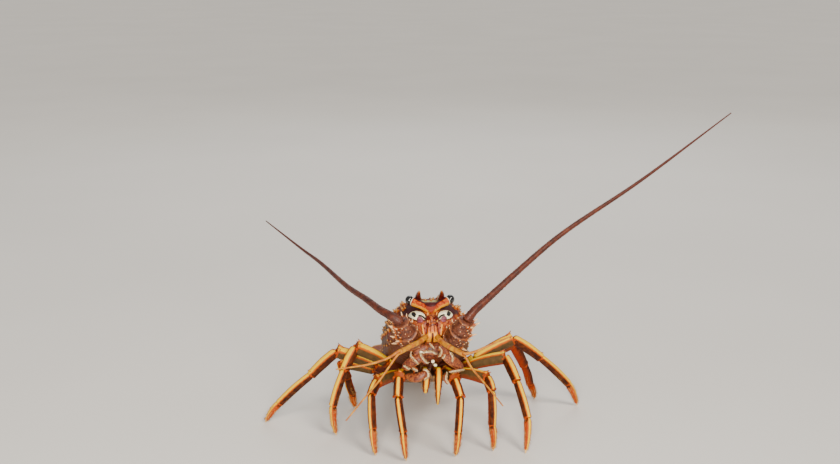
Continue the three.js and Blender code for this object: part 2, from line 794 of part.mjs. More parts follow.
const fanRoot = (across, behind, above) =>
  tailJoints.at(-1).clone().add(point(across, behind, above));
const roomOfLastRing = ringSolid(LAST_RING, GAP);
const middleBlade = {
  root: fanRoot(0, -1.5, -1),
  heading: 0,
  reach: 50,
  widths: [10, 12, 14, 14.5, 12, 7.5],
  thickness: 0.9,
};
const placeBlade = (name, shape, ...neighbours) =>
  place("tail", name, fuse(clearOf(blade(shape), neighbours)), shape.root, finishes.fan);

placeBlade("tail_fan_middle", middleBlade, roomOfLastRing);
for (const [end, side] of Object.entries(SIDES)) {
  const inner = {
    root: fanRoot(side * 14, -3, -2),
    heading: side * 25,
    reach: 50,
    widths: [4.5, 9, 13, 13, 10, 5.5],
    thickness: 0.85,
  };
  const outer = {
    root: fanRoot(side * 18.5, -6, -2),
    heading: side * 56,
    reach: 47,
    widths: [4.5, 9, 13.5, 13, 10, 5.5],
    thickness: 0.85,
  };
  placeBlade(`tail_fan_inner_${end}`, inner, roomOfLastRing, blade(middleBlade, GAP));
  placeBlade(`tail_fan_outer_${end}`, outer, roomOfLastRing, blade(inner, 1.5 * GAP));
}

// The part stands over the middle of its box.
const box = new THREE.Box3().setFromObject(lobster);
const middle = box.getCenter(point(0, 0, 0));
lobster.position.set(-middle.x, -middle.y, -box.min.z);

export default lobster;
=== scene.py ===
"""A life-size museum model of a spiny lobster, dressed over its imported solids.

The head faces -Y and is raised, the legs stand on the floor and both long antennae are held up
and back. Shapes are worked out in millimetres about the middle of the head, as (x, y, z) or on
the body as (across, behind, above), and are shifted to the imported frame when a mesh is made.
"""

from __future__ import annotations

import logging
import math
from dataclasses import dataclass, field
from enum import Enum
from typing import Callable, Iterable, Sequence

import bpy
import numpy as np
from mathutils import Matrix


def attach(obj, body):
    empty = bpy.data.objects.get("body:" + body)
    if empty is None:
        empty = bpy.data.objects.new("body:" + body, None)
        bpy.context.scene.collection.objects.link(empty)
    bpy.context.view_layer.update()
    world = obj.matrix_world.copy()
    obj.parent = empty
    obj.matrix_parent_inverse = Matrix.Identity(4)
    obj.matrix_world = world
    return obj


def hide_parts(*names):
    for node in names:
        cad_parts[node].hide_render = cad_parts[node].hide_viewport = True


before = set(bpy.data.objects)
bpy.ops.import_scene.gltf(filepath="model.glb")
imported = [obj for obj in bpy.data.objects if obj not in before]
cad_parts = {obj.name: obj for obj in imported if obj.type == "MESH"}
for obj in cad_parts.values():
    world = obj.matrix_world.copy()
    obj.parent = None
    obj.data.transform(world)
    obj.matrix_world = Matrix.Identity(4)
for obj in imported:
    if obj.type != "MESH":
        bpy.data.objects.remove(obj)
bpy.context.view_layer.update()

log = logging.getLogger("lobster")
Array = np.ndarray
Material = bpy.types.Material
Socket = bpy.types.NodeSocket
Triple = tuple[float, float, float]
Rows = Sequence[Sequence[float]]
Curve = Callable[[Array], list[Array]]
# Values for a shader node's inputs, by their names or numbers.
Inputs = dict[str | int, Socket | float | tuple[float, ...]]

MM = 0.001
UP = np.array([0.0, 0.0, 1.0])
# From the animal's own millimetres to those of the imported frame.
SHIFT = np.array([-70.526, -85.907, 0.0])
# The body's slope, and how far ahead and how high the front margin of its shell lies.
NOSE_UP = math.radians(30)
FRONT_MARGIN = (7.0, 109.3)
CARAPACE_LENGTH = 100.0
# How far a spine's root is sunk in its skin, in shares of its length, and how its foot flares.
SUNK = 0.2
FLARE = 0.35
# The lowest place of a bristle near the floor.
HAIR_FLOOR = 0.02
# Strengthens the finishes' colours, which the view's tone curve pales.
STRENGTH = 1.12
RAMP_SPOTS = (0.34, 0.5, 0.66)
COAT_ROUGHNESS = 0.18
BUMP_STRENGTH = 0.6


class Side(Enum):
    """The animal's two sides and the sign of x on each."""

    LEFT = ("l", 1.0)
    RIGHT = ("r", -1.0)

    @property
    def letter(self) -> str:
        """The letter that node names carry."""
        return self.value[0]

    @property
    def sign(self) -> float:
        """The sign of x on this side."""
        return self.value[1]

    @property
    def word(self) -> str:
        """The word that piece names carry."""
        return self.name.lower()


# Numbers and curves


def unit(vectors: Array) -> Array:
    """Vectors made one long."""
    vectors = np.asarray(vectors, float)
    return vectors / np.maximum(np.linalg.norm(vectors, axis=-1, keepdims=True), 1e-9)


def on_body(across: Array, behind: Array, above: Array) -> Array:
    """Places on the body: the body's axes turned nose up and moved to the front margin.

    Args:
        across: millimetres to the animal's left.
        behind: millimetres behind the front margin.
        above: millimetres above the body's middle.

    Returns:
        The places about the middle of the head.
    """
    x, s, n = np.broadcast_arrays(*(np.asarray(v, float) for v in (across, behind, above)))
    cosine, sine = math.cos(NOSE_UP), math.sin(NOSE_UP)
    forward, height = FRONT_MARGIN
    return np.stack([x, -forward + s * cosine + n * sine, height - s * sine + n * cosine], -1)


def body_way(across: float, behind: float, above: float) -> Array:
    """A direction on the body, one long."""
    return unit(on_body(across, behind, above) - on_body(0, 0, 0))


def step(low: float, high: float, values: Array) -> Array:
    """A smooth rise from 0 at low to 1 at high: t squared times (3 - 2 t)."""
    t = np.clip((np.asarray(values, float) - low) / (high - low), 0, 1)
    return t * t * (3 - 2 * t)


def hump(values: Array, middle: float, width: float) -> Array:
    """A bell curve, exp(-((v - middle) / width) squared)."""
    return np.exp(-(((np.asarray(values, float) - middle) / width) ** 2))


def table(rows: Rows) -> Curve:
    """A smooth curve through rows of (place, value, value...).

    Each span is a cubic whose slope at a row is the slope between that row's neighbours, and
    whose curvature is nil at both ends.

    Args:
        rows: the places, rising, each with its values.

    Returns:
        A function that gives the values at any places, held still beyond the ends.
    """
    data = np.asarray(rows, float)
    places, values = data[:, 0], data[:, 1:]
    gaps = np.diff(places)[:, None]
    rises = np.diff(values, axis=0) / gaps
    slopes = np.empty_like(values)
    slopes[1:-1] = (values[2:] - values[:-2]) / (places[2:] - places[:-2])[:, None]
    slopes[0] = 1.5 * rises[0] - 0.5 * slopes[1]
    slopes[-1] = 1.5 * rises[-1] - 0.5 * slopes[-2]

    def read(at: Array) -> list[Array]:
        """Values of the curve at the given places.

        Args:
            at: the places.

        Returns:
            An array for each value of a row.
        """
        at = np.clip(np.asarray(at, float), places[0], places[-1])
        k = np.clip(np.searchsorted(places, at, side="right") - 1, 0, len(places) - 2)
        h = gaps[k, 0]
        t = (at - places[k]) / h
        a = 2 * t**3 - 3 * t**2 + 1
        b = t**3 - 2 * t**2 + t
        c = 3 * t**2 - 2 * t**3
        d = t**3 - t**2
        return [
            a * values[k, j]
            + b * h * slopes[k, j]
            + c * values[k + 1, j]
            + d * h * slopes[k + 1, j]
            for j in range(values.shape[1])
        ]

    return read


def spline(points: Rows, count: int, bias: float = 1.0) -> Array:
    """Points spaced along a centripetal Catmull-Rom curve.

    Each span is a cubic whose end slopes come from its neighbours, weighted by the square root
    of the distances; the curve is then read at shares of its length raised to a power.

    Args:
        points: the points that it passes through.
        count: how many points to give back.
        bias: the power on the share of the length, over 1 to crowd the points at the start.

    Returns:
        The points, count rows of three.
    """
    p = np.asarray(points, float)
    p = np.vstack([2 * p[0] - p[1], p, 2 * p[-1] - p[-2]])
    t = np.linspace(0, 1, 33)[:, None]
    runs = []
    for before, start, end, after in zip(p[:-3], p[1:-2], p[2:-1], p[3:]):
        d0, d1, d2 = (
            max(np.linalg.norm(b - a) ** 0.5, 1e-4)
            for a, b in ((before, start), (start, end), (end, after))
        )
        out = ((start - before) / d0 - (end - before) / (d0 + d1) + (end - start) / d1) * d1
        into = ((end - start) / d1 - (after - start) / (d1 + d2) + (after - end) / d2) * d1
        cubic = 2 * start - 2 * end + out + into
        square = -3 * start + 3 * end - 2 * out - into
        runs.append(start + out * t + square * t**2 + cubic * t**3)
    dense = np.vstack([run[:-1] for run in runs] + [runs[-1][-1:]])
    return respaced(dense, np.linspace(0, 1, count) ** bias)


def gone(path: Array) -> Array:
    """How far along a path each of its points lies."""
    steps = np.linalg.norm(np.diff(path, axis=0), axis=1)
    return np.concatenate([[0], np.cumsum(steps)])


def respaced(path: Array, shares: Array) -> Array:
    """Points of a path at the given shares of its length."""
    lengths = gone(path)
    at = np.asarray(shares) * lengths[-1]
    return np.stack([np.interp(at, lengths, path[:, k]) for k in range(3)], -1)


def evened(section: Callable[[Array], Array], count: int) -> Array:
    """Turns at even steps of length round a closed section.

    Args:
        section: gives the section's places at an array of turns.
        count: how many turns to give back.

    Returns:
        The turns, as one row.
    """
    turn = np.linspace(0, 2 * np.pi, 4001)
    length = gone(section(turn))
    return np.interp(np.arange(count) / count * length[-1], length, turn)[None, :]


def turns(count: int) -> Array:
    """Turns at even steps round a ring, from nought."""
    return np.linspace(0, 2 * np.pi, count, endpoint=False)


def grain(points: Array, size: float, seed: int) -> Array:
    """Smooth lumps from about -1 to 1: a sum of sines along random ways, each near one size.

    Args:
        points: places in millimetres.
        size: the lumps' size.
        seed: chooses the lumps.

    Returns:
        A number for each point.
    """
    dice = np.random.default_rng(seed)
    ways = unit(dice.normal(size=(9, 3))) * dice.uniform(0.7, 1.5, (9, 1))
    phases = dice.uniform(0, 2 * np.pi, 9)
    return np.sin(points @ ways.T * (2 * np.pi / size) + phases).sum(-1) / 3.6


# Meshes


@dataclass
class Patch:
    """A surface: points in millimetres, its faces, and one number a point for each mark."""

    points: Array
    quads: Array = field(default_factory=lambda: np.empty((0, 4), int))
    tris: Array = field(default_factory=lambda: np.empty((0, 3), int))
    marks: dict[str, Array] = field(default_factory=dict)

    @staticmethod
    def joined(patches: Iterable[Patch]) -> Patch:
        """One surface from several, with nought for a mark that a patch lacks.

        Args:
            patches: the surfaces.

        Returns:
            All of them as one.
        """
        patches = list(patches)
        counts = [len(patch.points) for patch in patches]
        starts = np.cumsum([0, *counts])
        marks = {
            name: np.concatenate([p.marks.get(name, np.zeros(n)) for p, n in zip(patches, counts)])
            for name in sorted({name for patch in patches for name in patch.marks})
        }
        return Patch(
            np.vstack([patch.points for patch in patches]),
            np.vstack([patch.quads + start for patch, start in zip(patches, starts)]),
            np.vstack([patch.tris + start for patch, start in zip(patches, starts)]), marks,
        )

    def outward(self) -> Patch:
        """The same closed surface with its faces turned outwards, told by its signed volume.

        Returns:
            This surface.
        """
        faces = np.vstack([self.tris, self.quads[:, :3], self.quads[:, [0, 2, 3]]])
        a, b, c = (self.points[faces[:, k]] - self.points[0] for k in range(3))
        if np.einsum("ij,ij->i", a, np.cross(b, c)).sum() < 0:
            self.quads, self.tris = self.quads[:, ::-1], self.tris[:, ::-1]
        return self

    def marked(self, **marks: Array | float) -> Patch:
        """The same surface with more marks, each a number or one number a point."""
        for name, values in marks.items():
            self.marks[name] = np.broadcast_to(values, len(self.points)).astype(float)
        return self


def lattice(rows: int, columns: int) -> Array:
    """Quads of a grid whose last column meets its first.

    Args:
        rows: rings of the grid.
        columns: points in a ring.

    Returns:
        The four corners of each quad.
    """
    row = np.arange(rows - 1)[:, None] * columns
    column = np.arange(columns)[None, :]
    after = (column + 1) % columns
    corners = [row + column, row + after, row + columns + after, row + columns + column]
    return np.stack(corners, -1).reshape(-1, 4)


def closed_grid(grid: Array, **marks: Array) -> Patch:
    """A grid of points wrapped round its columns, each end closed by a fan to its middle.

    Args:
        grid: rows by columns by three.
        marks: numbers of the same rows and columns, or that spread to them.

    Returns:
        The closed surface, faces outwards.
    """
    rows, columns = grid.shape[:2]
    points = np.vstack([grid.reshape(-1, 3), grid[0].mean(0), grid[-1].mean(0)])
    ring = np.arange(columns)
    after = (ring + 1) % columns
    last = (rows - 1) * columns
    first_fan = np.stack([np.full(columns, rows * columns), after, ring], -1)
    last_fan = np.stack([np.full(columns, rows * columns + 1), last + ring, last + after], -1)
    patch = Patch(points, lattice(rows, columns), np.vstack([first_fan, last_fan]))
    for name, values in marks.items():
        values = np.broadcast_to(values, (rows, columns))
        ends = [values[0].mean(), values[-1].mean()]
        patch.marks[name] = np.concatenate([values.ravel(), ends]).astype(float)
    return patch.outward()


@dataclass
class Course:
    """A path with the directions of its cross-section at each point."""

    path: Array
    normal: Array

    def __post_init__(self) -> None:
        """Works out the directions: along the path, across it, and along the normal."""
        self.along = unit(np.gradient(self.path, axis=0))
        self.across = unit(np.cross(self.along, self.normal))
        self.deep = np.cross(self.across, self.along)
        lengths = gone(self.path)
        self.length = lengths[-1]
        self.share = lengths / lengths[-1]

    def out(self, share: Array, turn: Array) -> tuple[Array, Array, Array]:
        """Centre, outward way and forward way at shares of the length and turns about it.

        Args:
            share: shares of the length.
            turn: turns about the path.

        Returns:
            Centres, outward ways and forward ways.
        """
        centre, along, across, deep = (
            np.stack([np.interp(share, self.share, v[:, k]) for k in range(3)], -1)
            for v in (self.path, self.along, self.across, self.deep)
        )
        way = np.cos(turn)[..., None] * across + np.sin(turn)[..., None] * deep
        return centre, unit(way), unit(along)

    def roots(
        self, share: Array, turn: Array, size: Array, sunk: float
    ) -> tuple[Array, Array, Array]:
        """Roots for spines on a skin round the path, with their outward and forward ways.

        Args:
            share: shares of the length.
            turn: turns about the path.
            size: the skin's half width at each point of the path.
            sunk: the share of the half width at which the roots lie.

        Returns:
            The roots, their outward ways and the forward ways.
        """
        centre, way, forward = self.out(share, turn)
        return centre + sunk * way * np.interp(share, self.share, size)[:, None], way, forward


def tube(
    course: Course,
    wide: Array,
    deep: Array,
    sides: int = 24,
    relief: Callable[[Array, Array], Array] | None = None,
) -> Patch:
    """A closed skin over oval rings square to a path.

    A ring's point at a turn is the path's point plus wide times cosine across plus deep times
    sine along the normal, both made larger by the relief there.

    Args:
        course: the path and its directions.
        wide: half widths across, one a row.
        deep: half widths along the normal, one a row.
        sides: points in a ring.
        relief: gives the millimetres to add at a share of the length and a turn.

    Returns:
        The skin, marked with its share along and with cosine and sine of the turn.
    """
    turn = turns(sides)
    share = course.share[:, None]
    add = relief(share, turn) if relief else np.zeros((len(course.path), sides))
    x = (np.asarray(wide)[:, None] + add) * np.cos(turn)
    y = (np.asarray(deep)[:, None] + add) * np.sin(turn)
    grid = course.path[:, None] + x[..., None] * course.across[:, None]
    grid = grid + y[..., None] * course.deep[:, None]
    return closed_grid(grid, along=share, cosine=np.cos(turn), sine=np.sin(turn))


def thorns(
    roots: Array,
    ways: Array,
    lengths: Array,
    radii: Array,
    bend: Array | None = None,
    sides: int = 7,
    rings: int = 5,
    slender: float = 0.75,
) -> Patch:
    """Pointed cones, each bent along a curve and flared at its foot.

    At share t of its length a cone's middle is root + way t length + bend t squared length, and
    its radius is radius times (1 - t) to a power, with a flared foot that is sunk in the skin.

    Args:
        roots: where each cone leaves its surface.
        ways: which way each points.
        lengths: how long each is.
        radii: how thick each is at its foot.
        bend: how far each tip leans aside, in shares of its length.
        sides: points in a ring.
        rings: rings below the tip.
        slender: the power that thins the cone.

    Returns:
        The cones as one surface, marked with the share towards the tip and a tone for each.
    """
    roots, ways = np.atleast_2d(roots).astype(float), unit(np.atleast_2d(ways))
    count = len(roots)
    lengths, radii = (np.broadcast_to(v, count).astype(float) for v in (lengths, radii))
    bend = np.zeros((count, 3)) if bend is None else np.broadcast_to(bend, (count, 3))
    aside = unit(np.cross(ways, np.where(np.abs(ways[:, 2:]) > 0.9, [1.0, 0, 0], UP)))
    over = np.cross(ways, aside)
    t = np.linspace(-SUNK, 1, rings + 1)[:-1]
    lift = t[:, None] * ways[:, None] + (np.maximum(t, 0) ** 2)[:, None] * bend[:, None]
    middle = roots[:, None] + lift * lengths[:, None, None]
    size = radii[:, None] * ((1 - np.clip(t, 0, 1)) ** slender + FLARE * (t <= 0))[None]
    turn = turns(sides)
    spread = np.cos(turn)[:, None] * aside[:, None] + np.sin(turn)[:, None] * over[:, None]
    body = middle[:, :, None] + size[:, :, None, None] * spread[:, None]
    foot = roots - SUNK * ways * lengths[:, None]
    tips = roots + (ways + bend) * lengths[:, None]
    each = rings * sides + 2
    points = np.concatenate([body.reshape(count, -1, 3), foot[:, None], tips[:, None]], 1)
    ring = np.arange(sides)
    after = (ring + 1) % sides
    last = (rings - 1) * sides
    fans = np.vstack([
        np.stack([np.full(sides, each - 2), after, ring], -1),
        np.stack([np.full(sides, each - 1), last + ring, last + after], -1),
    ])
    start = (np.arange(count) * each)[:, None, None]
    towards = np.concatenate([np.repeat(np.clip(t, 0, 1), sides), [0, 1]])
    tone = np.random.default_rng(count).uniform(0, 1, count)
    patch = Patch(
        points.reshape(-1, 3), (lattice(rings, sides)[None] + start).reshape(-1, 4),
        (fans[None] + start).reshape(-1, 3),
        {"tip": np.tile(towards, count), "tone": np.repeat(tone, each)},
    )
    return patch.outward()


def hairs(roots: Array, ways: Array, length: float, thick: float, seed: int) -> Patch:
    """Bristles: three sided cones, each turned a little aside from its way by a seeded draw.

    Args:
        roots: where each leaves its skin.
        ways: which way each points.
        length: their usual length.
        thick: their radius at the foot.
        seed: chooses the draw.

    Returns:
        The bristles as one surface.
    """
    dice = np.random.default_rng(seed)
    ways = unit(unit(ways) + dice.normal(0, 0.16, ways.shape))
    lengths = length * dice.uniform(0.6, 1.15, len(roots))
    return thorns(roots, ways, lengths, thick, None, 3, 3, 0.6)


def blob(middle: Array, sizes: Sequence[float], axes: Array, rows: int = 14) -> Patch:
    """An egg: at each latitude and turn, the three half sizes times the unit ball's point.

    Args:
        middle: its middle.
        sizes: its three half sizes.
        axes: their directions.
        rows: rings from end to end.

    Returns:
        The egg.
    """
    lean = np.linspace(0.12, np.pi - 0.12, rows)[:, None]
    turn = turns(2 * rows)
    x, y, z = np.sin(lean) * np.cos(turn), np.sin(lean) * np.sin(turn), np.cos(lean)
    ball = np.stack(np.broadcast_arrays(x, y, z), -1)
    grid = np.asarray(middle) + (ball * np.asarray(sizes)) @ np.asarray(axes)
    return closed_grid(grid, along=(1 - np.cos(lean)) / 2)


def linked(name: str, data: bpy.types.ID) -> bpy.types.Object:
    """A new object of some data, at the origin of the scene."""
    made = bpy.data.objects.new(name, data)
    bpy.context.scene.collection.objects.link(made)
    return made


def piece(
    name: str, patch: Patch, material: Material, nodes: Sequence[str] = ()
) -> None:
    """Makes a surface an object that rides on the body and stands for its solids.

    Each mark becomes an attribute of the object's points.

    Args:
        name: the object's name.
        patch: its surface, in millimetres.
        material: its finish.
        nodes: the solids that it stands for.
    """
    mesh = bpy.data.meshes.new(name)
    points = (patch.points + SHIFT) * MM
    mesh.from_pydata(points.tolist(), [], patch.quads.tolist() + patch.tris.tolist())
    mesh.shade_smooth()
    for mark, values in patch.marks.items():
        layer = mesh.attributes.new(mark, "FLOAT", "POINT")
        layer.data.foreach_set("value", values.astype(np.float32))
    mesh.materials.append(material)
    made = linked(name, mesh)
    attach(made, "root")
    if nodes:
        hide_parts(*nodes)
    log.info("%s: %d points, %d faces", name, len(patch.points), len(mesh.polygons))


# Finishes


def linear(colour: str) -> tuple[float, float, float, float]:
    """A colour written as six hex digits, in the shaders' light and a little stronger.

    Each channel c becomes grey + STRENGTH (c - grey), where grey is the mean of the three.

    Args:
        colour: six hex digits.

    Returns:
        Red, green, blue and a full alpha.
    """
    values = [int(colour[k : k + 2], 16) / 255 for k in (0, 2, 4)]
    light = [v / 12.92 if v <= 0.04045 else ((v + 0.055) / 1.055) ** 2.4 for v in values]
    grey = sum(light) / 3
    r, g, b = (min(max(grey + STRENGTH * (c - grey), 0.0), 1.0) for c in light)
    return (r, g, b, 1.0)


def wired(tree: bpy.types.NodeTree, node: bpy.types.Node, inputs: Inputs) -> bpy.types.Node:
    """Links sockets to a node's inputs, or sets them to constants.

    Args:
        tree: the nodes that it is one of.
        node: the node.
        inputs: a socket or a constant for each input, by its name or number.

    Returns:
        The node.
    """
    for key, value in inputs.items():
        if isinstance(value, Socket):
            tree.links.new(value, node.inputs[key])
        else:
            node.inputs[key].default_value = value
    return node


@dataclass(frozen=True)
class Layer:
    """A colour laid over a finish where a mark of the mesh is high.

    Attributes:
        mark: the mesh's attribute.
        colour: hex digits.
        low: the mark's value where the colour begins.
        high: the value where it is full.
        ragged: how far lumps move that edge.
        size: the lumps' size in millimetres.
    """

    mark: str
    colour: str
    low: float = 0.0
    high: float = 1.0
    ragged: float = 0.0
    size: float = 2.0


@dataclass(frozen=True)
class Finish:
    """A horny shell: three mottled colours, specks, layers, and a fine grained gloss.

    Attributes:
        name: the material's name.
        colours: dark, middle and light, hex digits.
        mottle: size of the mottling in millimetres.
        speck: the specks' colour, spacing in millimetres, and how much of it they fill.
        layers: colours over marks, in order.
        rough: roughness at its least and most.
        grain: size of the fine lumps in millimetres.
        relief: their height in millimetres.
        coat: weight of the clear gloss.
        shine: level of the mirrored light.
    """

    name: str
    colours: tuple[str, str, str]
    mottle: float = 6.0
    speck: tuple[str, float, float] | None = None
    layers: tuple[Layer, ...] = ()
    rough: tuple[float, float] = (0.42, 0.62)
    grain: float = 0.7
    relief: float = 0.12
    coat: float = 0.08
    shine: float = 0.4

    def material(self) -> Material:
        """Builds the finish as shader nodes on object coordinates and the mesh's marks.

        Returns:
            The material.
        """
        made = bpy.data.materials.new(self.name)
        made.use_nodes = True
        tree = made.node_tree
        place = tree.nodes.new("ShaderNodeTexCoord").outputs["Object"]

        def add(kind: str, inputs: Inputs) -> bpy.types.Node:
            """A new node with some of its inputs."""
            return wired(tree, tree.nodes.new("ShaderNode" + kind), inputs)

        def lumps(size: float, detail: float = 3.0) -> Socket:
            """Cloudy lumps of a size in millimetres."""
            inputs = {"Scale": 1 / (size * MM), "Detail": detail, "Vector": place}
            return add("TexNoise", inputs).outputs["Fac"]

        def ranged(value: Socket, low: float, high: float, to: Sequence[float] = (0, 1)) -> Socket:
            """A smooth step of a value from low to high, which gives the two values in to."""
            node = add("MapRange", dict(enumerate((value, low, high, *to))))
            node.interpolation_type = "SMOOTHSTEP"
            return node.outputs["Result"]

        def sums(kind: str, first: Socket, second: Socket | float) -> Socket:
            """One step of arithmetic on two values."""
            node = add("Math", {0: first, 1: second})
            node.operation = kind
            return node.outputs[0]

        def laid(under: Socket, share: Socket, colour: str) -> Socket:
            """A colour over another by a share."""
            node = add("Mix", {"Factor": share, 6: under, 7: linear(colour)})
            node.data_type = "RGBA"
            return node.outputs[2]

        ramp = add("ValToRGB", {})
        ramp.color_ramp.elements.new(0.5)
        for element, spot, colour in zip(ramp.color_ramp.elements, RAMP_SPOTS, self.colours):
            element.position = spot
            element.color = linear(colour)
        wired(tree, ramp, {"Fac": lumps(self.mottle, 5.0)})
        colour = ramp.outputs["Color"]
        if self.speck:
            speck, size, share = self.speck
            cells = add("TexVoronoi", {"Scale": 1 / (size * MM), "Vector": place})
            near = ranged(cells.outputs["Distance"], share, 0.6 * share)
            colour = laid(colour, sums("MULTIPLY", near, lumps(4 * size)), speck)
        for layer in self.layers:
            mark = add("Attribute", {})
            mark.attribute_name = layer.mark
            value = mark.outputs["Fac"]
            if layer.ragged:
                shift = sums("MULTIPLY", sums("SUBTRACT", lumps(layer.size), 0.5), 2 * layer.ragged)
                value = sums("ADD", value, shift)
            colour = laid(colour, ranged(value, layer.low, layer.high), layer.colour)
        rough = ranged(lumps(3 * self.grain), 0.3, 0.7, self.rough)
        bump = add("Bump", {"Strength": BUMP_STRENGTH, "Distance": self.relief * MM})
        wired(tree, bump, {"Height": lumps(self.grain, 6.0)})
        shader = {
            "Base Color": colour,
            "Roughness": rough,
            "Normal": bump.outputs["Normal"],
            "Coat Weight": self.coat,
            "Coat Roughness": COAT_ROUGHNESS,
            "Specular IOR Level": self.shine,
        }
        wired(tree, tree.nodes["Principled BSDF"], shader)
        return made


# Head and shell


@dataclass
class Carapace:
    """The shell over head and back, with its neck groove, rear rim and rows of spines.

    Attributes:
        neck: how far behind the neck groove lies, its sweep, depth and width.
        rear_rim: how far behind the rear rim's groove lies, its depth and width.
        main_rows, small_rows: degrees aside of the rows of large and of small spines.
        radian: millimetres aside that a radian of turn is taken for there.
        outline: half width, height above and depth below at places behind the front margin.
    """

    rows: int = 190
    columns: int = 280
    neck: tuple[float, float, float, float] = (47.0, 9.0, 1.9, 3.4)
    rear_rim: Triple = (94.0, 1.2, 1.8)
    main_rows: tuple[float, ...] = (14, 32, 50, 68, 86)
    small_rows: tuple[float, ...] = (5, 23, 41, 59, 77, 95)
    tuft: int = 9
    radian: float = 34.0
    outline: Curve = table([
        (0, 22, 18, 20), (8, 27, 23, 23), (24, 33, 28, 25), (46, 36.5, 31, 26), (70, 38.5, 32, 26),
        (90, 37.5, 30.5, 25), (100, 34.5, 27, 22),
    ])

    def surface(self, behind: Array, turn: Array, lift: Array | float = 0.0) -> Array:
        """Places on the shell, a squared oval less the neck groove and the rear rim.

        Args:
            behind: millimetres behind the front margin.
            turn: radians from the middle of the back.
            lift: millimetres outside the plain surface.

        Returns:
            The places about the middle of the head.
        """
        half, back, belly = self.outline(behind)
        rise, reach = np.cos(turn), np.sin(turn)
        at, sweep, depth, width = self.neck
        sink = depth * hump(behind - at + sweep * reach**2, 0, width)
        at, depth, width = self.rear_rim
        sink = np.sqrt(np.maximum(rise, 0)) * (sink + depth * hump(behind, at, width))
        top = (back + lift - sink) * rise
        under = -(belly + lift) * np.abs(rise) ** 0.45
        across = (half + lift - 0.6 * sink) * np.sign(reach) * np.abs(reach) ** 0.8
        return on_body(across, behind, np.where(rise > 0, top, under))

    def spine_places(self) -> tuple[Array, Array, Array]:
        """How far behind, at what turn and how long each spine is, from rows with a seed.

        Returns:
            Millimetres behind, turns and lengths.
        """
        dice = np.random.default_rng(7)
        behind, turn, length = [], [], []
        for rows, count, front, rear in (
            (self.main_rows, 10, 6.6, 2.8),
            (self.small_rows, 17, 2.8, 1.7),
        ):
            for k, row in enumerate(rows):
                along = np.linspace(8 + 5 * (k % 2), 91, count) + dice.uniform(-2, 2, count)
                for sign in (-1, 1):
                    behind.append(along + dice.uniform(-1, 1, count))
                    turn.append(np.radians(sign * (row + dice.uniform(-3, 3, count))))
                    size = front + (rear - front) * along / CARAPACE_LENGTH
                    length.append(size * dice.uniform(0.75, 1.2, count))
        return tuple(np.concatenate(v) for v in (behind, turn, length))

    def shell(self) -> Patch:
        """The shell itself, raised in a mound under each spine.

        Returns:
            The shell with its marks.
        """
        behind = np.linspace(0, CARAPACE_LENGTH, self.rows)[:, None]
        turn = evened(lambda turn: self.surface(np.full(turn.shape, 50.0), turn), self.columns)
        plain = self.surface(behind, turn)
        lift = np.zeros(plain.shape[:2])
        for at, row, length in zip(*self.spine_places()):
            near = self.surface(at, row)
            away = ((plain - near) ** 2).sum(-1)
            lift += 0.11 * length * np.exp(-away / (0.38 * length + 0.7) ** 2)
        mound = np.clip(lift / 0.5, 0, 1)
        lift += 0.22 * grain(plain, 7, 3) - 0.9 * hump(behind, 0, 1.4)
        lift += 0.5 * hump(behind, 3.2, 1.6) + 0.5 * hump(behind, 97.5, 1.6)
        degrees = np.degrees(np.minimum(turn, 2 * np.pi - turn))
        half, *_ = self.outline(behind)
        across = np.abs(half * np.sin(turn))
        at, sweep, _, width = self.neck
        groove = hump(behind - at + sweep * np.sin(turn) ** 2, 0, 0.8 * width) * (degrees < 88)
        groove = groove + hump(behind, self.rear_rim[0], 1.5) * (degrees < 95)
        margin = np.maximum(step(3.2, 2.2, behind), step(16, 8, behind) * step(4, 8, across))
        return closed_grid(
            self.surface(behind, turn, lift), mound=mound, groove=groove,
            pale=step(6.8, 4.6, across) * step(2.6, 4, behind) * step(13, 9, behind) * (degrees < 60),
            margin=margin * step(75, 50, degrees),
            band=step(7.5, 5, behind) * step(1.5, 2.5, behind) * step(35, 55, degrees),
            front=step(30, 6, behind) * step(110, 80, degrees), flank=step(86, 100, degrees),
            crimson=0.5 + 0.5 * grain(plain, 17, 11),
        )

    def spines(self) -> Patch:
        """Every spine, leaning forwards and curved a little more so towards its tip.

        Returns:
            The spines as one surface.
        """
        behind, turn, length = self.spine_places()
        roots = self.surface(behind, turn)
        out = unit(roots - on_body(0 * behind, behind, 0))
        ways = unit(0.8 * out + body_way(0, -1, 0))
        bend = 0.22 * body_way(0, -1, 0) - 0.05 * out
        return thorns(roots, ways, length, 0.24 * length + 0.25, bend, 8, 6)

    def tufts(self) -> Patch:
        """A few short bristles round the front of every spine's foot.

        Returns:
            The bristles as one surface.
        """
        behind, turn, length = (np.repeat(v, self.tuft) for v in self.spine_places())
        swing = np.random.default_rng(71).uniform(-1.5, 1.5, len(behind))
        reach = 0.34 * length + 0.4
        behind = behind - reach * np.cos(swing)
        turn = turn + reach * np.sin(swing) / self.radian
        roots = self.surface(behind, turn)
        ways = unit(roots - on_body(0 * behind, behind, 0)) + body_way(0, -0.8, 0)
        return hairs(roots, ways, 1.5, 0.07, 72)

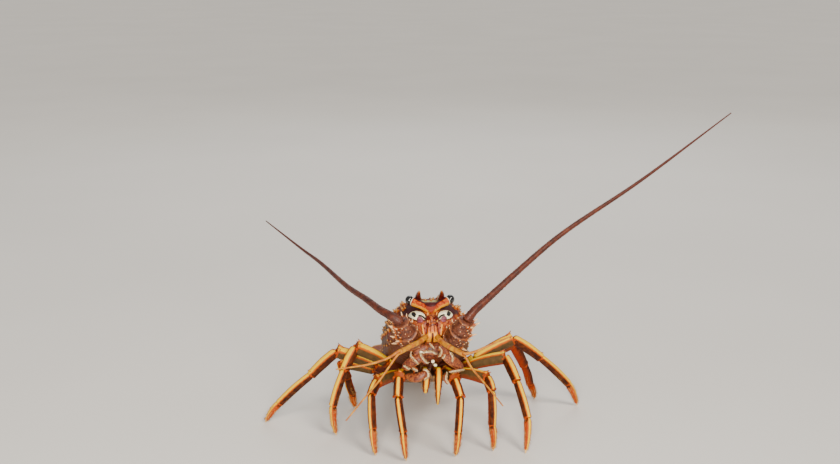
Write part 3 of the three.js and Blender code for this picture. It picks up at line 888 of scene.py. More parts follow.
    def build(self) -> None:
        """Makes the shell, its spines and their bristles."""
        skin = Finish(
            "shell", ("2c1d12", "54331f", "74502f"), mottle=7, speck=("a8905c", 2.3, 0.26),
            layers=(
                Layer("crimson", "5e1613", 0.52, 0.7, 0.12, 3), Layer("flank", "56280f", 0, 1, 0.3, 4),
                Layer("front", "7a3018", 0.1, 1.1, 0.25, 4), Layer("band", "a85c28", 0.3, 0.9, 0.3, 2),
                Layer("mound", "8d3c1c", 0.35, 1.2, 0.1, 1),
                Layer("groove", "241009", 0.2, 1.2, 0.1, 2),
                Layer("margin", "330f14", 0.2, 0.7, 0.1, 2),
                Layer("pale", "b3ab72", 0.2, 0.7, 0.3, 1.6),
            ),
            rough=(0.5, 0.72), relief=0.25, grain=0.9, coat=0.02,
        )
        spine = Finish(
            "shell_spine", ("6d2a15", "9c4a20", "b8682e"),
            layers=(Layer("tip", "d9a367", 0.3, 0.62), Layer("tip", "3b1712", 0.74, 0.95)),
            rough=(0.25, 0.4),
        )
        piece("carapace_shell", self.shell(), skin.material(), ["carapace"])
        piece("carapace_spines", self.spines(), spine.material())
        tuft = Finish("shell_bristle", ("6e4426", "94683a", "b88c56"), rough=(0.5, 0.7))
        piece("carapace_bristles", self.tufts(), tuft.material())


@dataclass
class Horns:
    """The two horns over the eyes, through stops (across, behind, above, half width, depth)."""

    stops: tuple[tuple[float, ...], ...] = (
        (10.5, 16, 15, 4.4, 8), (10, 6, 19.5, 4.2, 6.4), (10, -2, 22.6, 3.6, 4.6),
        (10, -8, 24.8, 2.7, 3.2), (9.6, -13.5, 26, 1.7, 1.8), (9.1, -17.5, 26, 0.3, 0.3),
    )

    def horn(self, side: Side) -> Patch:
        """One horn: ovals along a curve, flattened at the sides and keeled on top.

        Args:
            side: which horn.

        Returns:
            The horn, marked towards its tip.
        """
        stops = np.array(self.stops)
        path = spline(on_body(side.sign * stops[:, 0], stops[:, 1], stops[:, 2]), 60)
        course = Course(path, body_way(0, 0, 1))
        place = np.linspace(0, 1, len(stops)) ** 0.95
        wide, deep = (np.interp(course.share, place, stops[:, k]) for k in (3, 4))

        def relief(share: Array, turn: Array) -> Array:
            """A keel above and faint rings that fade to the tip."""
            keel = 0.5 * hump(turn, np.pi / 2, 0.5)
            return (keel + 0.1 * np.sin(90 * share)) * (1 - share)

        patch = tube(course, wide, deep, 28, relief)
        return patch.marked(tip=patch.marks["along"])

    def build(self) -> None:
        """Makes both horns."""
        horn = Finish(
            "horn", ("2a0a0c", "47130f", "5f2016"), mottle=4,
            layers=(Layer("tip", "8a3d1c", 0.82, 0.9, 0.03, 2), Layer("tip", "d08a4c", 0.9, 0.97)),
            rough=(0.22, 0.4), coat=0.5,
        )
        material = horn.material()
        for side in Side:
            piece(f"horn_{side.word}", self.horn(side), material, [f"horn_{side.letter}"])


@dataclass
class Eyes:
    """Both eyes and the thick orange stalks that meet in a plate over the face.

    Attributes:
        place: how far across, behind and above an eye lies.
        radius: its radius.
        root: where its stalk springs from.
    """

    place: Triple = (17.4, -4.3, 21.4)
    radius: float = 3.9
    root: Triple = (3.8, -7, 14.6)

    def ball(self, side: Side) -> Patch:
        """One eye: a ball a little longer across its stalk.

        Args:
            side: which eye.

        Returns:
            The ball.
        """
        x, s, n = self.place
        middle = on_body(side.sign * x, s, n)
        along = unit(middle - on_body(side.sign * self.root[0], *self.root[1:]))
        across = unit(np.cross(along, UP))
        axes = np.stack([across, np.cross(along, across), along])
        r = self.radius
        return blob(middle, (r, r, 0.93 * r), axes, 24)

    def stalks(self) -> Patch:
        """Both stalks as one skin from eye to eye, with a point hanging from its middle.

        Returns:
            The skin with its marks.
        """
        x, s, n = self.place
        half = [(0, -10.2, 13.4), (4.2, -9.4, 14.2), (9.5, -7.4, 17), (x - 2.6, s - 0.5, n - 1.3)]
        row = [(-a, b, c) for a, b, c in half[:0:-1]] + half
        path = spline(on_body(*np.array(row).T), 150)
        course = Course(path, body_way(0, 1, 0))
        off = np.abs(course.share - 0.5) * 2
        tall = np.interp(off, [0, 0.2, 0.45, 0.75, 0.93, 1], [4.5, 3.9, 3.2, 3.5, 3.9, 3.5])
        thick = np.interp(off, [0, 0.3, 0.75, 0.93, 1], [2.6, 2.6, 3.2, 3.8, 3.4])

        def relief(share: Array, turn: Array) -> Array:
            """A point below the middle, a shield in front and a lip along the lower edge."""
            away = np.abs(share - 0.5) * 2
            point = 2.6 * hump(away, 0, 0.13) * np.maximum(-np.cos(turn), 0) ** 3
            shield = 0.7 * step(0.3, 0.2, away) * np.maximum(-np.sin(turn), 0)
            lip = 0.45 * hump(np.cos(turn), -0.62, 0.2) * step(1, 0.8, away)
            return point + shield + lip

        patch = tube(course, tall, thick, 56, relief)
        away = np.abs(patch.marks["along"] - 0.5) * 2
        low = -patch.marks["cosine"]
        return patch.marked(
            centre=step(0.34, 0.2, away + 0.25 * low),
            yellow=step(0.25, 0.75, low) * step(0.95, 0.85, away),
            top=step(0.3, 0.62, 0.5 * step(0.4, 0.1, away) - low) * step(0.96, 0.9, away),
            cup=step(0.93, 0.955, away),
        )

    def build(self) -> None:
        """Makes the eyes and their stalks."""
        eye = Finish(
            "eye", ("050405", "09070a", "141013"), mottle=3, rough=(0.04, 0.09), grain=0.25,
            relief=0.01, coat=1.0,
        )
        stalk = Finish(
            "eye_stalk", ("661a08", "96380f", "b8561a"), mottle=1.8, speck=("d08428", 1.7, 0.4),
            layers=(
                Layer("yellow", "cc8a1e", 0.3, 0.9, 0.5, 1.6),
                Layer("centre", "7c2a0c", 0.1, 1.0, 0.6, 2),
                Layer("top", "3a0f12", 0.3, 0.8, 0.12, 2), Layer("cup", "e9e0c4", 0.3, 0.7),
            ),
            grain=0.5, relief=0.15, coat=0.02, shine=0.2,
        )
        nodes = [f"eye_stalk_{side.letter}" for side in Side]
        piece("eye_stalks", self.stalks(), stalk.material(), nodes)
        material = eye.material()
        for side in Side:
            piece(f"eye_{side.word}", self.ball(side), material, [f"eye_{side.letter}"])


@dataclass
class Face:
    """The plates between the eyes and the antennae, with their pale cheeks and middle spines.

    Attributes:
        dome: rings of the dome that closes the front.
        length: how far it stands before the front margin.
        cheek: place across and above of a white patch, its half width and height.
        pad: place across and above of a mauve pad and its radius.
        spot: place across and above of a black spot, its half width and height.
        outline: half width, height above and depth below at places before the front margin.
    """

    rows: int = 150
    dome: int = 35
    columns: int = 260
    length: float = 17.0
    cheek: tuple[float, float, float, float] = (12.0, 6.5, 6.4, 4.6)
    pad: Triple = (9.4, 1.6, 2.6)
    spot: tuple[float, float, float, float] = (13.3, 6.6, 1.75, 2.7)
    outline: Curve = table([
        (0, 21, 16.5, 19), (4, 21, 14.8, 18), (8, 20.5, 12, 16), (12, 18.5, 8.8, 14.5),
        (15, 12.5, 5.5, 13.5), (17, 7, 3, 12.5),
    ])

    def block(self) -> Patch:
        """The face: ovals that shrink towards the front, closed there by a low dome.

        Each feature is a bell or a step of the place across and above, and it lifts the skin
        forwards and outwards and marks its colour.

        Returns:
            The face with its marks.
        """
        dome = np.linspace(0.05, 1, self.dome + 1)[:-1]
        sides = np.linspace(self.length, 0.4, self.rows)
        ahead = np.concatenate([np.full(self.dome, self.length), sides])[:, None]
        share = np.concatenate([dome, np.ones(self.rows)])[:, None]
        turn = turns(self.columns)
        half, top, bottom = self.outline(ahead)
        x = share * half * np.sin(turn)
        n = share * np.where(np.cos(turn) > 0, top, bottom) * np.cos(turn)
        s = -ahead - 0.8 * (1 - share**2) + 0 * turn
        side = np.abs(x)
        cx, cn, cw, ch = self.cheek
        u, v = (side - cx) / cw, (n - cn - 0.16 * (side - cx)) / ch
        square = (np.abs(u - 0.2 * v) ** 2.4 + np.abs(v) ** 2.3) ** 0.42
        white = step(1.06, 0.96, square)
        rim = hump(square, 1.16, 0.1)
        px, pn, pr = self.pad
        round_pad = np.hypot(side - px, (n - pn) * 1.05) / pr
        pad = step(1.05, 0.85, round_pad)
        sx, sn, sw, sh = self.spot
        spot = step(1.1, 0.88, np.hypot((side - sx - 0.2 * (n - sn)) / sw, (n - sn) / sh))
        arc = step(0.4, 0.24, np.abs(round_pad - 1.42)) * step(px + 1.6, px, side)
        arc = arc * step(pn, pn + 1.2, n)
        column_half = 2.6 + 0.11 * np.maximum(3 - n, 0)
        column = step(1.2, 0.85, side / column_half) * step(8.5, 5, n)
        crease = hump(side / column_half, 1.32, 0.15) * step(5, 2, n)
        fork = hump(side / column_half, 0.45, 0.1) * step(4, 1, n) * step(-11, -8, n)
        fork = fork + 1.6 * hump(side, 0, 0.9) * step(-8.5, -10.5, n)
        ridge = hump(side - 7.6 - 0.12 * (n + 6), 0, 0.8) * step(-1, -3, n) * step(-13, -10, n)
        lift = 1.9 * step(1.25, 0.35, square) + 0.35 * white - 0.5 * rim
        lift += 1.7 * np.sqrt(np.clip(1.05 - round_pad**2, 0, 1))
        lift -= 0.35 * hump(round_pad, 1.2, 0.15)
        lift += column - 0.7 * crease - 0.55 * fork + 0.9 * ridge - 0.4 * arc + 0.25 * spot
        lift += 0.18 * grain(np.stack([x, s, n], -1), 3.2, 5)
        way = unit(np.stack([x / 16, -np.ones_like(x), n / 16], -1))
        reach = np.moveaxis(way * (lift * step(0.4, 3.5, ahead))[..., None], -1, 0)
        return closed_grid(
            on_body(x, s, n) + on_body(*reach) - on_body(0, 0, 0), white=white * (1 - pad),
            rim=rim * (1 - white) * (1 - pad), spot=spot, arc=arc * (1 - 0.5 * pad), pad=pad,
            # Dark spots on the column round its spines' feet are painted shade.
            column=column, knots=column * step(-8, -4, n), beak=column * step(-7, -10.5, n),
            crease=np.clip(np.maximum(crease, 0.85 * fork), 0, 1), ridge=ridge, low=step(-2, -9, n),
            # The top of the face under the eye stalks is darkened as painted shade.
            brow=step(9.5, 12, n),
        )

    def spines(self) -> Patch:
        """Two pairs of long spines down the column and rows of small ones beside it.

        Each pair is (across, behind, above, length, radius).

        Returns:
            The spines as one surface.
        """
        pairs = [
            (3.4, -18.2, 2.9, 6.0, 1.45), (3.7, -18.4, -2.4, 4.4, 1.25), (6.6, -17.0, -5.6, 2.4, 0.6),
            (8.2, -15.4, -8.4, 2.0, 0.5), (12.5, -14.2, -1.6, 2.4, 0.6), (15.2, -12.6, -0.2, 2.2, 0.55),
            (17.6, -10.4, 1.6, 2.0, 0.5), (13.8, -12.8, -5.0, 2.2, 0.55),
        ]
        data = np.array([(sign * x, *rest) for x, *rest in pairs for sign in (-1, 1)])
        roots = on_body(data[:, 0], data[:, 1], data[:, 2])
        ways = unit(body_way(0, -1, 0.45) + 0.02 * data[:, :1] * np.array([1.0, 0, 0]))
        return thorns(roots, ways, data[:, 3], data[:, 4], 0.25 * UP, 9, 7)

    def build(self) -> None:
        """Makes the face and its spines."""
        skin = Finish(
            "face", ("5e2214", "8a3c1e", "ad5a2a"), mottle=2.2, speck=("cf8a52", 1.5, 0.24),
            layers=(
                # Painted shade: the second layer on the next line darkens the face's top under the eye
                # stalks.
                Layer("low", "8c3a1c", 0, 1, 0.2, 3), Layer("brow", "4a1a12", 0, 1, 0.2, 2),
                Layer("column", "b05c28", 0.1, 0.9, 0.35, 1.3),
                Layer("beak", "dc9434", 0.1, 0.9, 0.35, 1.3),
                # Painted shade: dark spots at the feet of the column's spines.
                Layer("knots", "4c1c10", 0.85, 1.1, 1.0, 1.6),
                Layer("ridge", "dd9a48", 0.3, 0.9, 0.1, 1.5), Layer("crease", "4c1510", 0.2, 0.9),
                Layer("rim", "3f2a16", 0.25, 0.8), Layer("white", "fff6d2", 0.3, 0.6),
                Layer("spot", "0b0908", 0.35, 0.6), Layer("arc", "1d120e", 0.3, 0.6),
                Layer("pad", "74404c", 0.3, 0.7, 0.15, 1),
            ),
            grain=0.5, relief=0.14,
        )
        spine = Finish(
            "face_spine", ("3c0d0c", "5c1812", "7a2416"),
            layers=(Layer("tip", "e8a055", 0.5, 0.8),), rough=(0.25, 0.4),
        )
        piece("face_plates", self.block(), skin.material(), ["face"])
        piece("face_spines", self.spines(), spine.material())


# Antennae


@dataclass
class Antennae:
    """The long antennae: three spiny joints and a ringed whip on each side.

    Attributes:
        joints: the left base's joints, from the head to the whip.
        sizes: its half width at each.
        swelling: share of the length over which the swelling fades.
    """

    joints: tuple[Triple, ...] = (
        (13.5, -13, 98.1), (19, -27, 105.3), (22.8, -34, 113.9), (27, -38, 123.5),
    )
    sizes: tuple[float, ...] = (11.2, 10.9, 9.8, 7.0)
    whip_root: float = 3.9
    whip_stem: float = 2.9
    whip_tip: float = 0.55
    swelling: float = 0.06
    rings: int = 250
    prickles: int = 6

    # Rows of spines round a joint: first and last degrees, count, share along, length, and how
    # much shorter they are on each next joint.
    SPINES = (
        (-150, 150, 9, 0.86, 8.6, 1.3), (-170, 150, 8, 0.6, 3.6, 0), (-155, 165, 9, 0.36, 3.0, 0),
        (-165, 140, 8, 0.14, 2.2, 0),
    )
    # Each whip's course past the base.
    PATHS = {
        Side.LEFT: (
            (32, -36, 129.5), (48, -24, 139.2), (69.2, -10, 152.6), (114.4, 20, 178.7),
            (195, 64, 216.1), (294.5, 118, 268.5),
        ),
        Side.RIGHT: (
            (-31, -38, 126.5), (-36, -34, 128.5), (-42.8, -23, 129.4), (-53, 0, 130.9),
            (-68.2, 44, 128.6), (-94.1, 125, 128.9), (-112.7, 180, 127.5), (-153.3, 270, 135),
        ),
    }

    def joint(self, side: Side, index: int) -> tuple[Patch, Patch]:
        """One joint of the base and its spines.

        Args:
            side: which antenna.
            index: 0 at the head to 2 at the whip.

        Returns:
            The joint, a barrel with a rolled far rim, and its spines.
        """
        flip = np.array([side.sign, 1, 1])
        start, end = (np.array(self.joints[index + k]) * flip for k in (0, 1))
        reach = unit(end - start)
        path = start + (end - start) * np.linspace(-0.06, 1.02, 60)[:, None]
        course = Course(path, UP)
        first, last = self.sizes[index], self.sizes[index + 1]
        body = np.interp(course.share, [0, 0.1, 0.55, 0.93, 1], [0.84, 0.98, 1.0, 1.02, 0.93])
        size = body * (first * 0.95 + (last - first) * course.share)

        def relief(share: Array, turn: Array) -> Array:
            """A rim near the far end, a groove before it, and low lumps."""
            rim = 0.5 * hump(share, 0.93, 0.035) - 0.35 * hump(share, 0.85, 0.03)
            lumps = 0.2 * np.sin(7 * turn + 3 * share) * np.sin(17 * share + 2 * turn)
            return rim + lumps

        patch = tube(course, size, 0.92 * size, 64, relief)
        patch.marked(
            rim=hump(patch.marks["along"], 0.94, 0.05),
            dent=hump(patch.marks["along"], 0.85, 0.04) + step(0.06, 0, patch.marks["along"]),
            under=step(0.1, 0.9, -(patch.points - start) @ UP / first),
        )
        dice = np.random.default_rng(30 + index + 5 * (side is Side.LEFT))
        outward = unit(body_way(side.sign, 0, 0.35))
        zero = math.atan2(outward @ course.deep[30], outward @ course.across[30])
        rows = []
        for begin, finish, count, share, length, less in self.SPINES:
            degrees = np.linspace(begin, finish, count)
            fall = 0.55 + 0.45 * np.cos(np.radians(degrees) * 0.8)
            length = (length - less * index) * fall
            turn = zero + np.radians(degrees + dice.uniform(-9, 9, count))
            share = share + dice.uniform(-0.05, 0.05, count)
            rows.append((turn, share, length * dice.uniform(0.8, 1.15, count)))
        turn, share, length = (np.concatenate(v) for v in zip(*rows))
        roots, way, _ = course.roots(share, turn, size, 0.93)
        ways = unit(0.85 * way + reach)
        return patch, thorns(roots, ways, length, 0.17 * length + 0.3, 0.2 * reach, 9, 6)

    def whip(self, side: Side) -> tuple[Patch, Patch]:
        """The whip, ringed like a stack of cups, and the prickles at its rings.

        Args:
            side: which antenna.

        Returns:
            The whip and its prickles.
        """
        root = np.array(self.joints[-1]) * np.array([side.sign, 1, 1])
        rows = 4 * self.rings + 1
        path = spline([root, *self.PATHS[side]], rows, 1.25)
        course = Course(path, UP)
        share = course.share
        size = self.whip_stem + (self.whip_tip - self.whip_stem) * share**1.1
        size = size + (self.whip_root - self.whip_stem) * np.exp(-share / self.swelling)
        cup = np.arange(rows) % 4
        ring = 0.07 * (cup / 4 - 0.35) * size
        patch = tube(course, size, size, 18, lambda share, turn: ring[:, None] + 0 * turn)
        patch.marked(edge=np.concatenate([np.repeat((cup == 3) * 1.0, 18), [0, 0]]))
        at = np.repeat(share[3::4][: int(0.8 * self.rings)], self.prickles)
        turn = np.random.default_rng(14).uniform(0, 2 * np.pi, len(at))
        roots, way, forward = course.roots(at, turn, size, 0.98)
        local = np.interp(at, share, size)
        ways = unit(way * 0.3 + forward)
        return patch, thorns(roots, ways, 0.26 * local + 0.2, 0.1 * local + 0.03, None, 4, 2)

    def build(self) -> None:
        """Makes both antennae."""
        base = Finish(
            "antenna_base", ("32120c", "502818", "683a28"), mottle=3.2, speck=("844c34", 1.8, 0.3),
            layers=(
                Layer("under", "4c2018", 0, 1, 0.2, 3), Layer("rim", "7e4828", 0.3, 1, 0.3, 2),
                Layer("dent", "34120c", 0.3, 1.0, 0.1, 2),
            ),
            relief=0.2,
        )
        spine = Finish(
            "antenna_spine", ("6d2c16", "8e4420", "a85a2c"),
            layers=(Layer("tip", "e6bd92", 0.25, 0.6), Layer("tip", "7a3a22", 0.88, 1.0)),
            rough=(0.22, 0.38),
        )
        whip = Finish(
            "whip", ("2c0f09", "471b10", "5c2a18"), mottle=5,
            layers=(Layer("edge", "74402a", 0.2, 1.2), Layer("along", "4e1f14", 0.3, 1.0)),
            rough=(0.42, 0.6), grain=0.4,
        )
        bases, spines, whips = base.material(), spine.material(), whip.material()
        for side in Side:
            name = side.word
            thorny = []
            for index in range(3):
                patch, points = self.joint(side, index)
                node = f"antenna_{side.letter}_base_{index + 1}"
                piece(f"antenna_{name}_joint_{index + 1}", patch, bases, [node])
                thorny.append(points)
            piece(f"antenna_{name}_spines", Patch.joined(thorny), spines)
            patch, points = self.whip(side)
            nodes = [f"antenna_{side.letter}_whip_{k}" for k in (1, 2)]
            piece(f"antenna_{name}_whip", patch, whips, nodes)
            piece(f"antenna_{name}_bristles", points, whips)


@dataclass
class Antennules:
    """The small feelers: a stalk that forks in two on each side. Sizes are half widths."""

    stalk_size: float = 2.3
    outer_size: float = 1.25
    inner_size: float = 1.0
    tip_size: float = 0.5
    joints: tuple[float, float] = (0.36, 0.68)
    rows: int = 241

    # Courses of each stalk and of the feelers past it.
    PATHS = {
        Side.LEFT: {
            "stalk": ((2.9, -22.5, 106.4), (6, -37, 106.1), (11.8, -48, 104.9), (21.4, -59, 102.8)),
            "outer": ((30.2, -62, 105.2), (42.9, -63, 111.1), (61.4, -58, 116.4)),
            "inner": ((27.8, -68, 93.9), (38.3, -82, 83.9), (49, -97, 73.1)),
        },
        Side.RIGHT: {
            "stalk": (
                (-3.1, -22.5, 106.4), (-10.8, -37, 106.5), (-19.4, -48, 106.5), (-29, -59, 105.8),
            ),
            "outer": ((-37.2, -62, 102.9), (-51.6, -63, 98.2), (-80.3, -60, 92.9)),
            "inner": ((-45.6, -70, 87.1), (-55.6, -82, 80.3), (-73.3, -98, 65.4)),
        },
    }

    def stalk(self, side: Side) -> tuple[Patch, Array, Array]:
        """The stalk with its two joints, and where and which way it ends.

        Args:
            side: which antennule.

        Returns:
            The stalk, its end, and the way that it ends.
        """
        path = spline(self.PATHS[side]["stalk"], 90)
        course = Course(path, UP)
        share = course.share
        size = self.stalk_size * (1.0 - 0.06 * share)
        for joint in self.joints:
            size = size + 0.28 * hump(share, joint - 0.025, 0.02) - 0.5 * hump(share, joint, 0.012)
        patch = tube(course, size, 0.92 * size, 26)
        along = patch.marks["along"]
        patch.marked(joint=sum(hump(along, joint, 0.02) for joint in self.joints))
        return patch, path[-1], course.along[-1]

    def feeler(self, start: Array, way: Array, points: Sequence, size: float) -> Patch:
        """A feeler, ringed, from the fork to its tip.

        Args:
            start: where it springs from.
            way: the way that it sets off.
            points: the rest of its course.
            size: its half width at the fork.

        Returns:
            The feeler, marked at its rings.
        """
        path = spline([start, start + 3 * way, *points], self.rows)
        course = Course(path, UP)
        size = size + (self.tip_size - size) * course.share
        ring = 0.06 * np.cos(np.arange(self.rows) * np.pi / 2)
        patch = tube(course, size * (1 + ring), size * (1 + ring), 10)
        return patch.marked(edge=np.concatenate([np.repeat((ring < 0) * 1.0, 10), [0, 0]]))

    def build(self) -> None:
        """Makes both antennules."""
        finish = Finish(
            "feeler", ("8c4c08", "a86c12", "bc8822"), mottle=4,
            layers=(Layer("joint", "a4521e", 0.3, 1.0), Layer("edge", "b5642a", 0.5, 1.5)),
            grain=0.4, relief=0.08,
        )
        material = finish.material()
        for side in Side:
            stem, end, way = self.stalk(side)
            node = f"antennule_{side.letter}"
            name = f"antennule_{side.word}"
            lifted = unit(UP - way * way[2])
            piece(f"{name}_stalk", stem, material, [f"{node}_stalk"])
            for branch, lift, size in (
                ("outer", 1, self.outer_size),
                ("inner", -1, self.inner_size),
            ):
                start = end - 0.4 * way + lift * 1.25 * lifted
                patch = self.feeler(start, way, self.PATHS[side][branch], size)
                piece(f"{name}_{branch}", patch, material, [f"{node}_{branch}"])


# Mouth, belly and legs


@dataclass
class Mouth:
    """The mouth: a dark block, leaf shaped jaw plates with bristled ribs, and two mouth legs.

    Attributes:
        rings: half width and depth of the block at places behind the front margin.
        middle: how far below the body's middle the block's middle lies.
        front: place of the mouth's front on its middle.
        curve: how fast that front falls back aside.
    """

    rings: tuple[Triple, ...] = ((-11, 8, 27), (-6, 11.5, 31), (6, 13, 33), (20, 12, 34), (32, 10, 34))
    middle: float = 20.0
    front: float = -15.5
    curve: float = 0.018
    leg_sizes: tuple[float, ...] = (4.6, 4.8, 4.3, 3.4, 1.1)
    leg_joints: tuple[float, ...] = (0.26, 0.54, 0.78)

    # Places across and above of the ribbed leaves, and of the broad ones with their half widths.
    ROWS = (
        ((-2.7, -17.6), (0.9, -21.5)), ((-8.7, -26.1), (-4.7, -25.3), (-0.7, -25.5), (2.2, -27.6)),
        ((-18, -24.6), (-17.6, -27.2), (-15.2, -30.5), (-12, -34.4)),
        ((-11.6, -24.8), (-9.8, -29), (-8, -31.7), (-5.1, -34.9)), ((10.4, -27.5), (8.2, -31.1)),
        ((13.7, -24.9), (16.2, -29.3), (15.2, -32.9)), ((5.2, -20.5), (7.4, -24.5), (5.6, -29.5)),
        ((-24.6, -34.3), (-19.9, -38.5)), ((-17.4, -36.8), (-13.2, -39.8)),
        ((-9.2, -39.6), (-5.9, -40.9), (-5, -44.9), (-8.1, -47.2)),
        ((12.4, -41.6), (19.4, -40.2), (25.6, -38.6)), ((10.8, -41.6), (9.5, -47.2), (11.3, -52)),
    )
    BROAD = (
        (((7, -27), (16, -32), (26, -37)), 4.4), (((-7, -27), (-16, -31.5), (-25.5, -36)), 4.4),
        (((-5, -41), (-14, -45.5), (-23.4, -42)), 3.6), (((4, -22), (9, -22), (13, -27)), 4.0),
        (((-4, -21), (-10, -22), (-15, -28)), 4.0),
    )
    # Courses of the mouth legs.
    LEGS = {
        Side.LEFT: ((4.4, -3, 66), (5.2, -18, 69), (4.6, -33, 76), (3.9, -36.5, 63), (3.9, -34, 49)),
        Side.RIGHT: (
            (-4.4, -3, 66), (-5.2, -18, 69), (-5.4, -32, 74.5), (-6.4, -34, 63), (-6, -24, 57.5),
        ),
    }

    def block(self) -> Patch:
        """The block behind the plates: half round rings from front to back.

        Returns:
            The block.
        """
        behind = np.linspace(-10.2, 31.5, 60)[:, None]
        half, depth = table(self.rings)(behind)
        turn = turns(72)
        tall = np.where(np.cos(turn) > 0, 6, depth - self.middle)
        x, n = np.sin(turn), np.cos(turn)
        plain = np.stack(np.broadcast_arrays(half * x, behind, tall * n), -1)
        lump = 0.5 * grain(plain, 6, 8) - 1
        return closed_grid(on_body((half + lump) * x, behind, (tall + lump) * n - self.middle))

    @staticmethod
    def swell(share: Array) -> Array:
        """A leaf's outline: (1 - |2 t - 1| to the 2.2) to the 0.6 at share t of its length."""
        return np.clip(1 - np.abs(2 * share - 1) ** 2.2, 0.02, 1) ** 0.6

    def leaf(self, row: Rows, wide: float, deep: float, sunk: float) -> Patch:
        """An oval leaf along a row, whose breadth faces forwards, sunk behind the mouth's front.

        Args:
            row: places across and above.
            wide: half width.
            deep: half thickness.
            sunk: millimetres behind the front.

        Returns:
            The leaf, marked at its edges, which the finish lightens as a painted highlight.
        """
        course = self.course(row, sunk)
        body = self.swell(course.share)
        patch = tube(course, wide * body, deep * body, 26)
        return patch.marked(rim=step(0.8, 0.98, np.abs(patch.marks["cosine"])))

    def course(self, row: Rows, sunk: float) -> Course:
        """A course through places (across, above) on the mouth's rounded front, sunk behind it."""
        x, n = np.array(row).T
        path = spline(on_body(x, self.front + self.curve * x**2 + sunk, n), 40)
        return Course(path, body_way(0, -1, 0))

    def plates(self) -> tuple[Patch, Patch, Patch]:
        """The jaw leaves, the pale rib on each one's middle and the bristles on the ribs.

        Returns:
            Leaves, ribs and bristles.
        """
        leaves = [self.leaf(row, wide, 1.7, 2.6) for row, wide in self.BROAD]
        ribs, bristles = [], []
        for k, row in enumerate(self.ROWS):
            leaves.append(self.leaf(row, 1.9, 1.1, 1.3))
            course = self.course(row, 0)
            body = self.swell(course.share)
            ribs.append(tube(course, 0.34 * body, 0.45 * body, 10))
            dice = np.random.default_rng(400 + k)
            count = int(16 * course.length)
            turn = 0.5 + dice.uniform(-0.5, 0.7, count) + (k % 2) * (np.pi - 1.1)
            centre, way, forward = course.out(dice.uniform(0.02, 0.98, count), turn)
            bristles.append(hairs(centre + 0.2 * way, way + 0.9 * forward, 2.3, 0.06, 40 + k))
        return Patch.joined(leaves), Patch.joined(ribs), Patch.joined(bristles)

    def teeth(self) -> Patch:
        """The pale cutting edges of the jaws and a small lobe above them.

        Returns:
            The edges and the lobe.
        """
        axes = np.stack([body_way(1, 0, -0.25), body_way(0, -1, 0), body_way(0.25, 0, 1)])
        eggs = [
            blob(on_body(x, self.front, n), (1.5, 1.3, tall), axes)
            for x, n, tall in ((-0.6, -33.1, 1.5), (1.3, -36.2, 1.2), (-9.9, -25.0, 1.0))
        ]
        return Patch.joined(eggs)

    def leg(self, side: Side) -> tuple[Patch, Patch]:
        """A mouth leg and the fringe of bristles down its inner edge.

        Args:
            side: which side it hangs on.

        Returns:
            The leg and its fringe.
        """
        path = spline(self.LEGS[side], 110)
        course = Course(path, np.array([1.0, 0, 0]))
        size = np.interp(course.share, np.linspace(0, 1, 5), self.leg_sizes)
        pinch = sum(hump(course.share, at, 0.02) for at in self.leg_joints)
        patch = tube(course, size - 0.6 * pinch, 0.85 * size - 0.5 * pinch, 28)
        along = patch.marks["along"]
        # The up mark puts the legs' stripe, which is partly a painted highlight, down one side of the
        # mouth leg.
        patch.marked(
            up=0.5 + 0.5 * patch.marks["cosine"],
            rim=0.8 * sum(hump(along, at, 0.02) for at in self.leg_joints),
        )
        at = np.repeat(np.linspace(0.4, 0.99, 70), 4)
        turn = np.tile([2.2, 2.8, 3.5, 4.1], 70)
        roots, way, forward = course.roots(at, turn, size, 0.85)
        return patch, hairs(roots, way + 0.8 * forward, 3.0, 0.12, 52)

    def build(self, leg_skin: Material, hair: Material) -> None:
        """Makes the mouth and its legs.

        Args:
            leg_skin: the finish of the legs.
            hair: the finish of the bristles.
        """
        block = Finish("mouth_block", ("341410", "5e2a1a", "824626"), mottle=1.6, relief=0.2)
        plate = Finish(
            "mouth_plate", ("38120e", "6a301d", "9c5c30"), mottle=1.5, speck=("b07c4c", 0.8, 0.2),
            # Painted highlight: the rim layer lightens the edges of each leaf.
            layers=(Layer("rim", "a8683a", 0.4, 1.1, 0.4, 1),), grain=0.5, relief=0.2,
        )
        tooth = Finish("tooth", ("cfc49a", "e8dfc0", "f4efdc"), mottle=2, rough=(0.2, 0.35))
        piece("mouth_block", self.block(), block.material(), ["mouth"])
        pale = Finish(
            "mouth_bristle", ("b08c5c", "d8c294", "f2e8cc"), mottle=1.5, rough=(0.4, 0.6), relief=0.03
        ).material()
        plates, ribs, bristles = self.plates()
        piece("mouth_plates", plates, plate.material())
        piece("mouth_ribs", ribs, pale)
        piece("mouth_bristles", bristles, pale)
        piece("mouth_teeth", self.teeth(), tooth.material())
        for side in Side:
            leg, fringe = self.leg(side)
            name = f"mouth_leg_{side.word}"
            piece(name, leg, leg_skin, [f"mouth_leg_{side.letter}"])
            piece(f"{name}_fringe", fringe, hair)


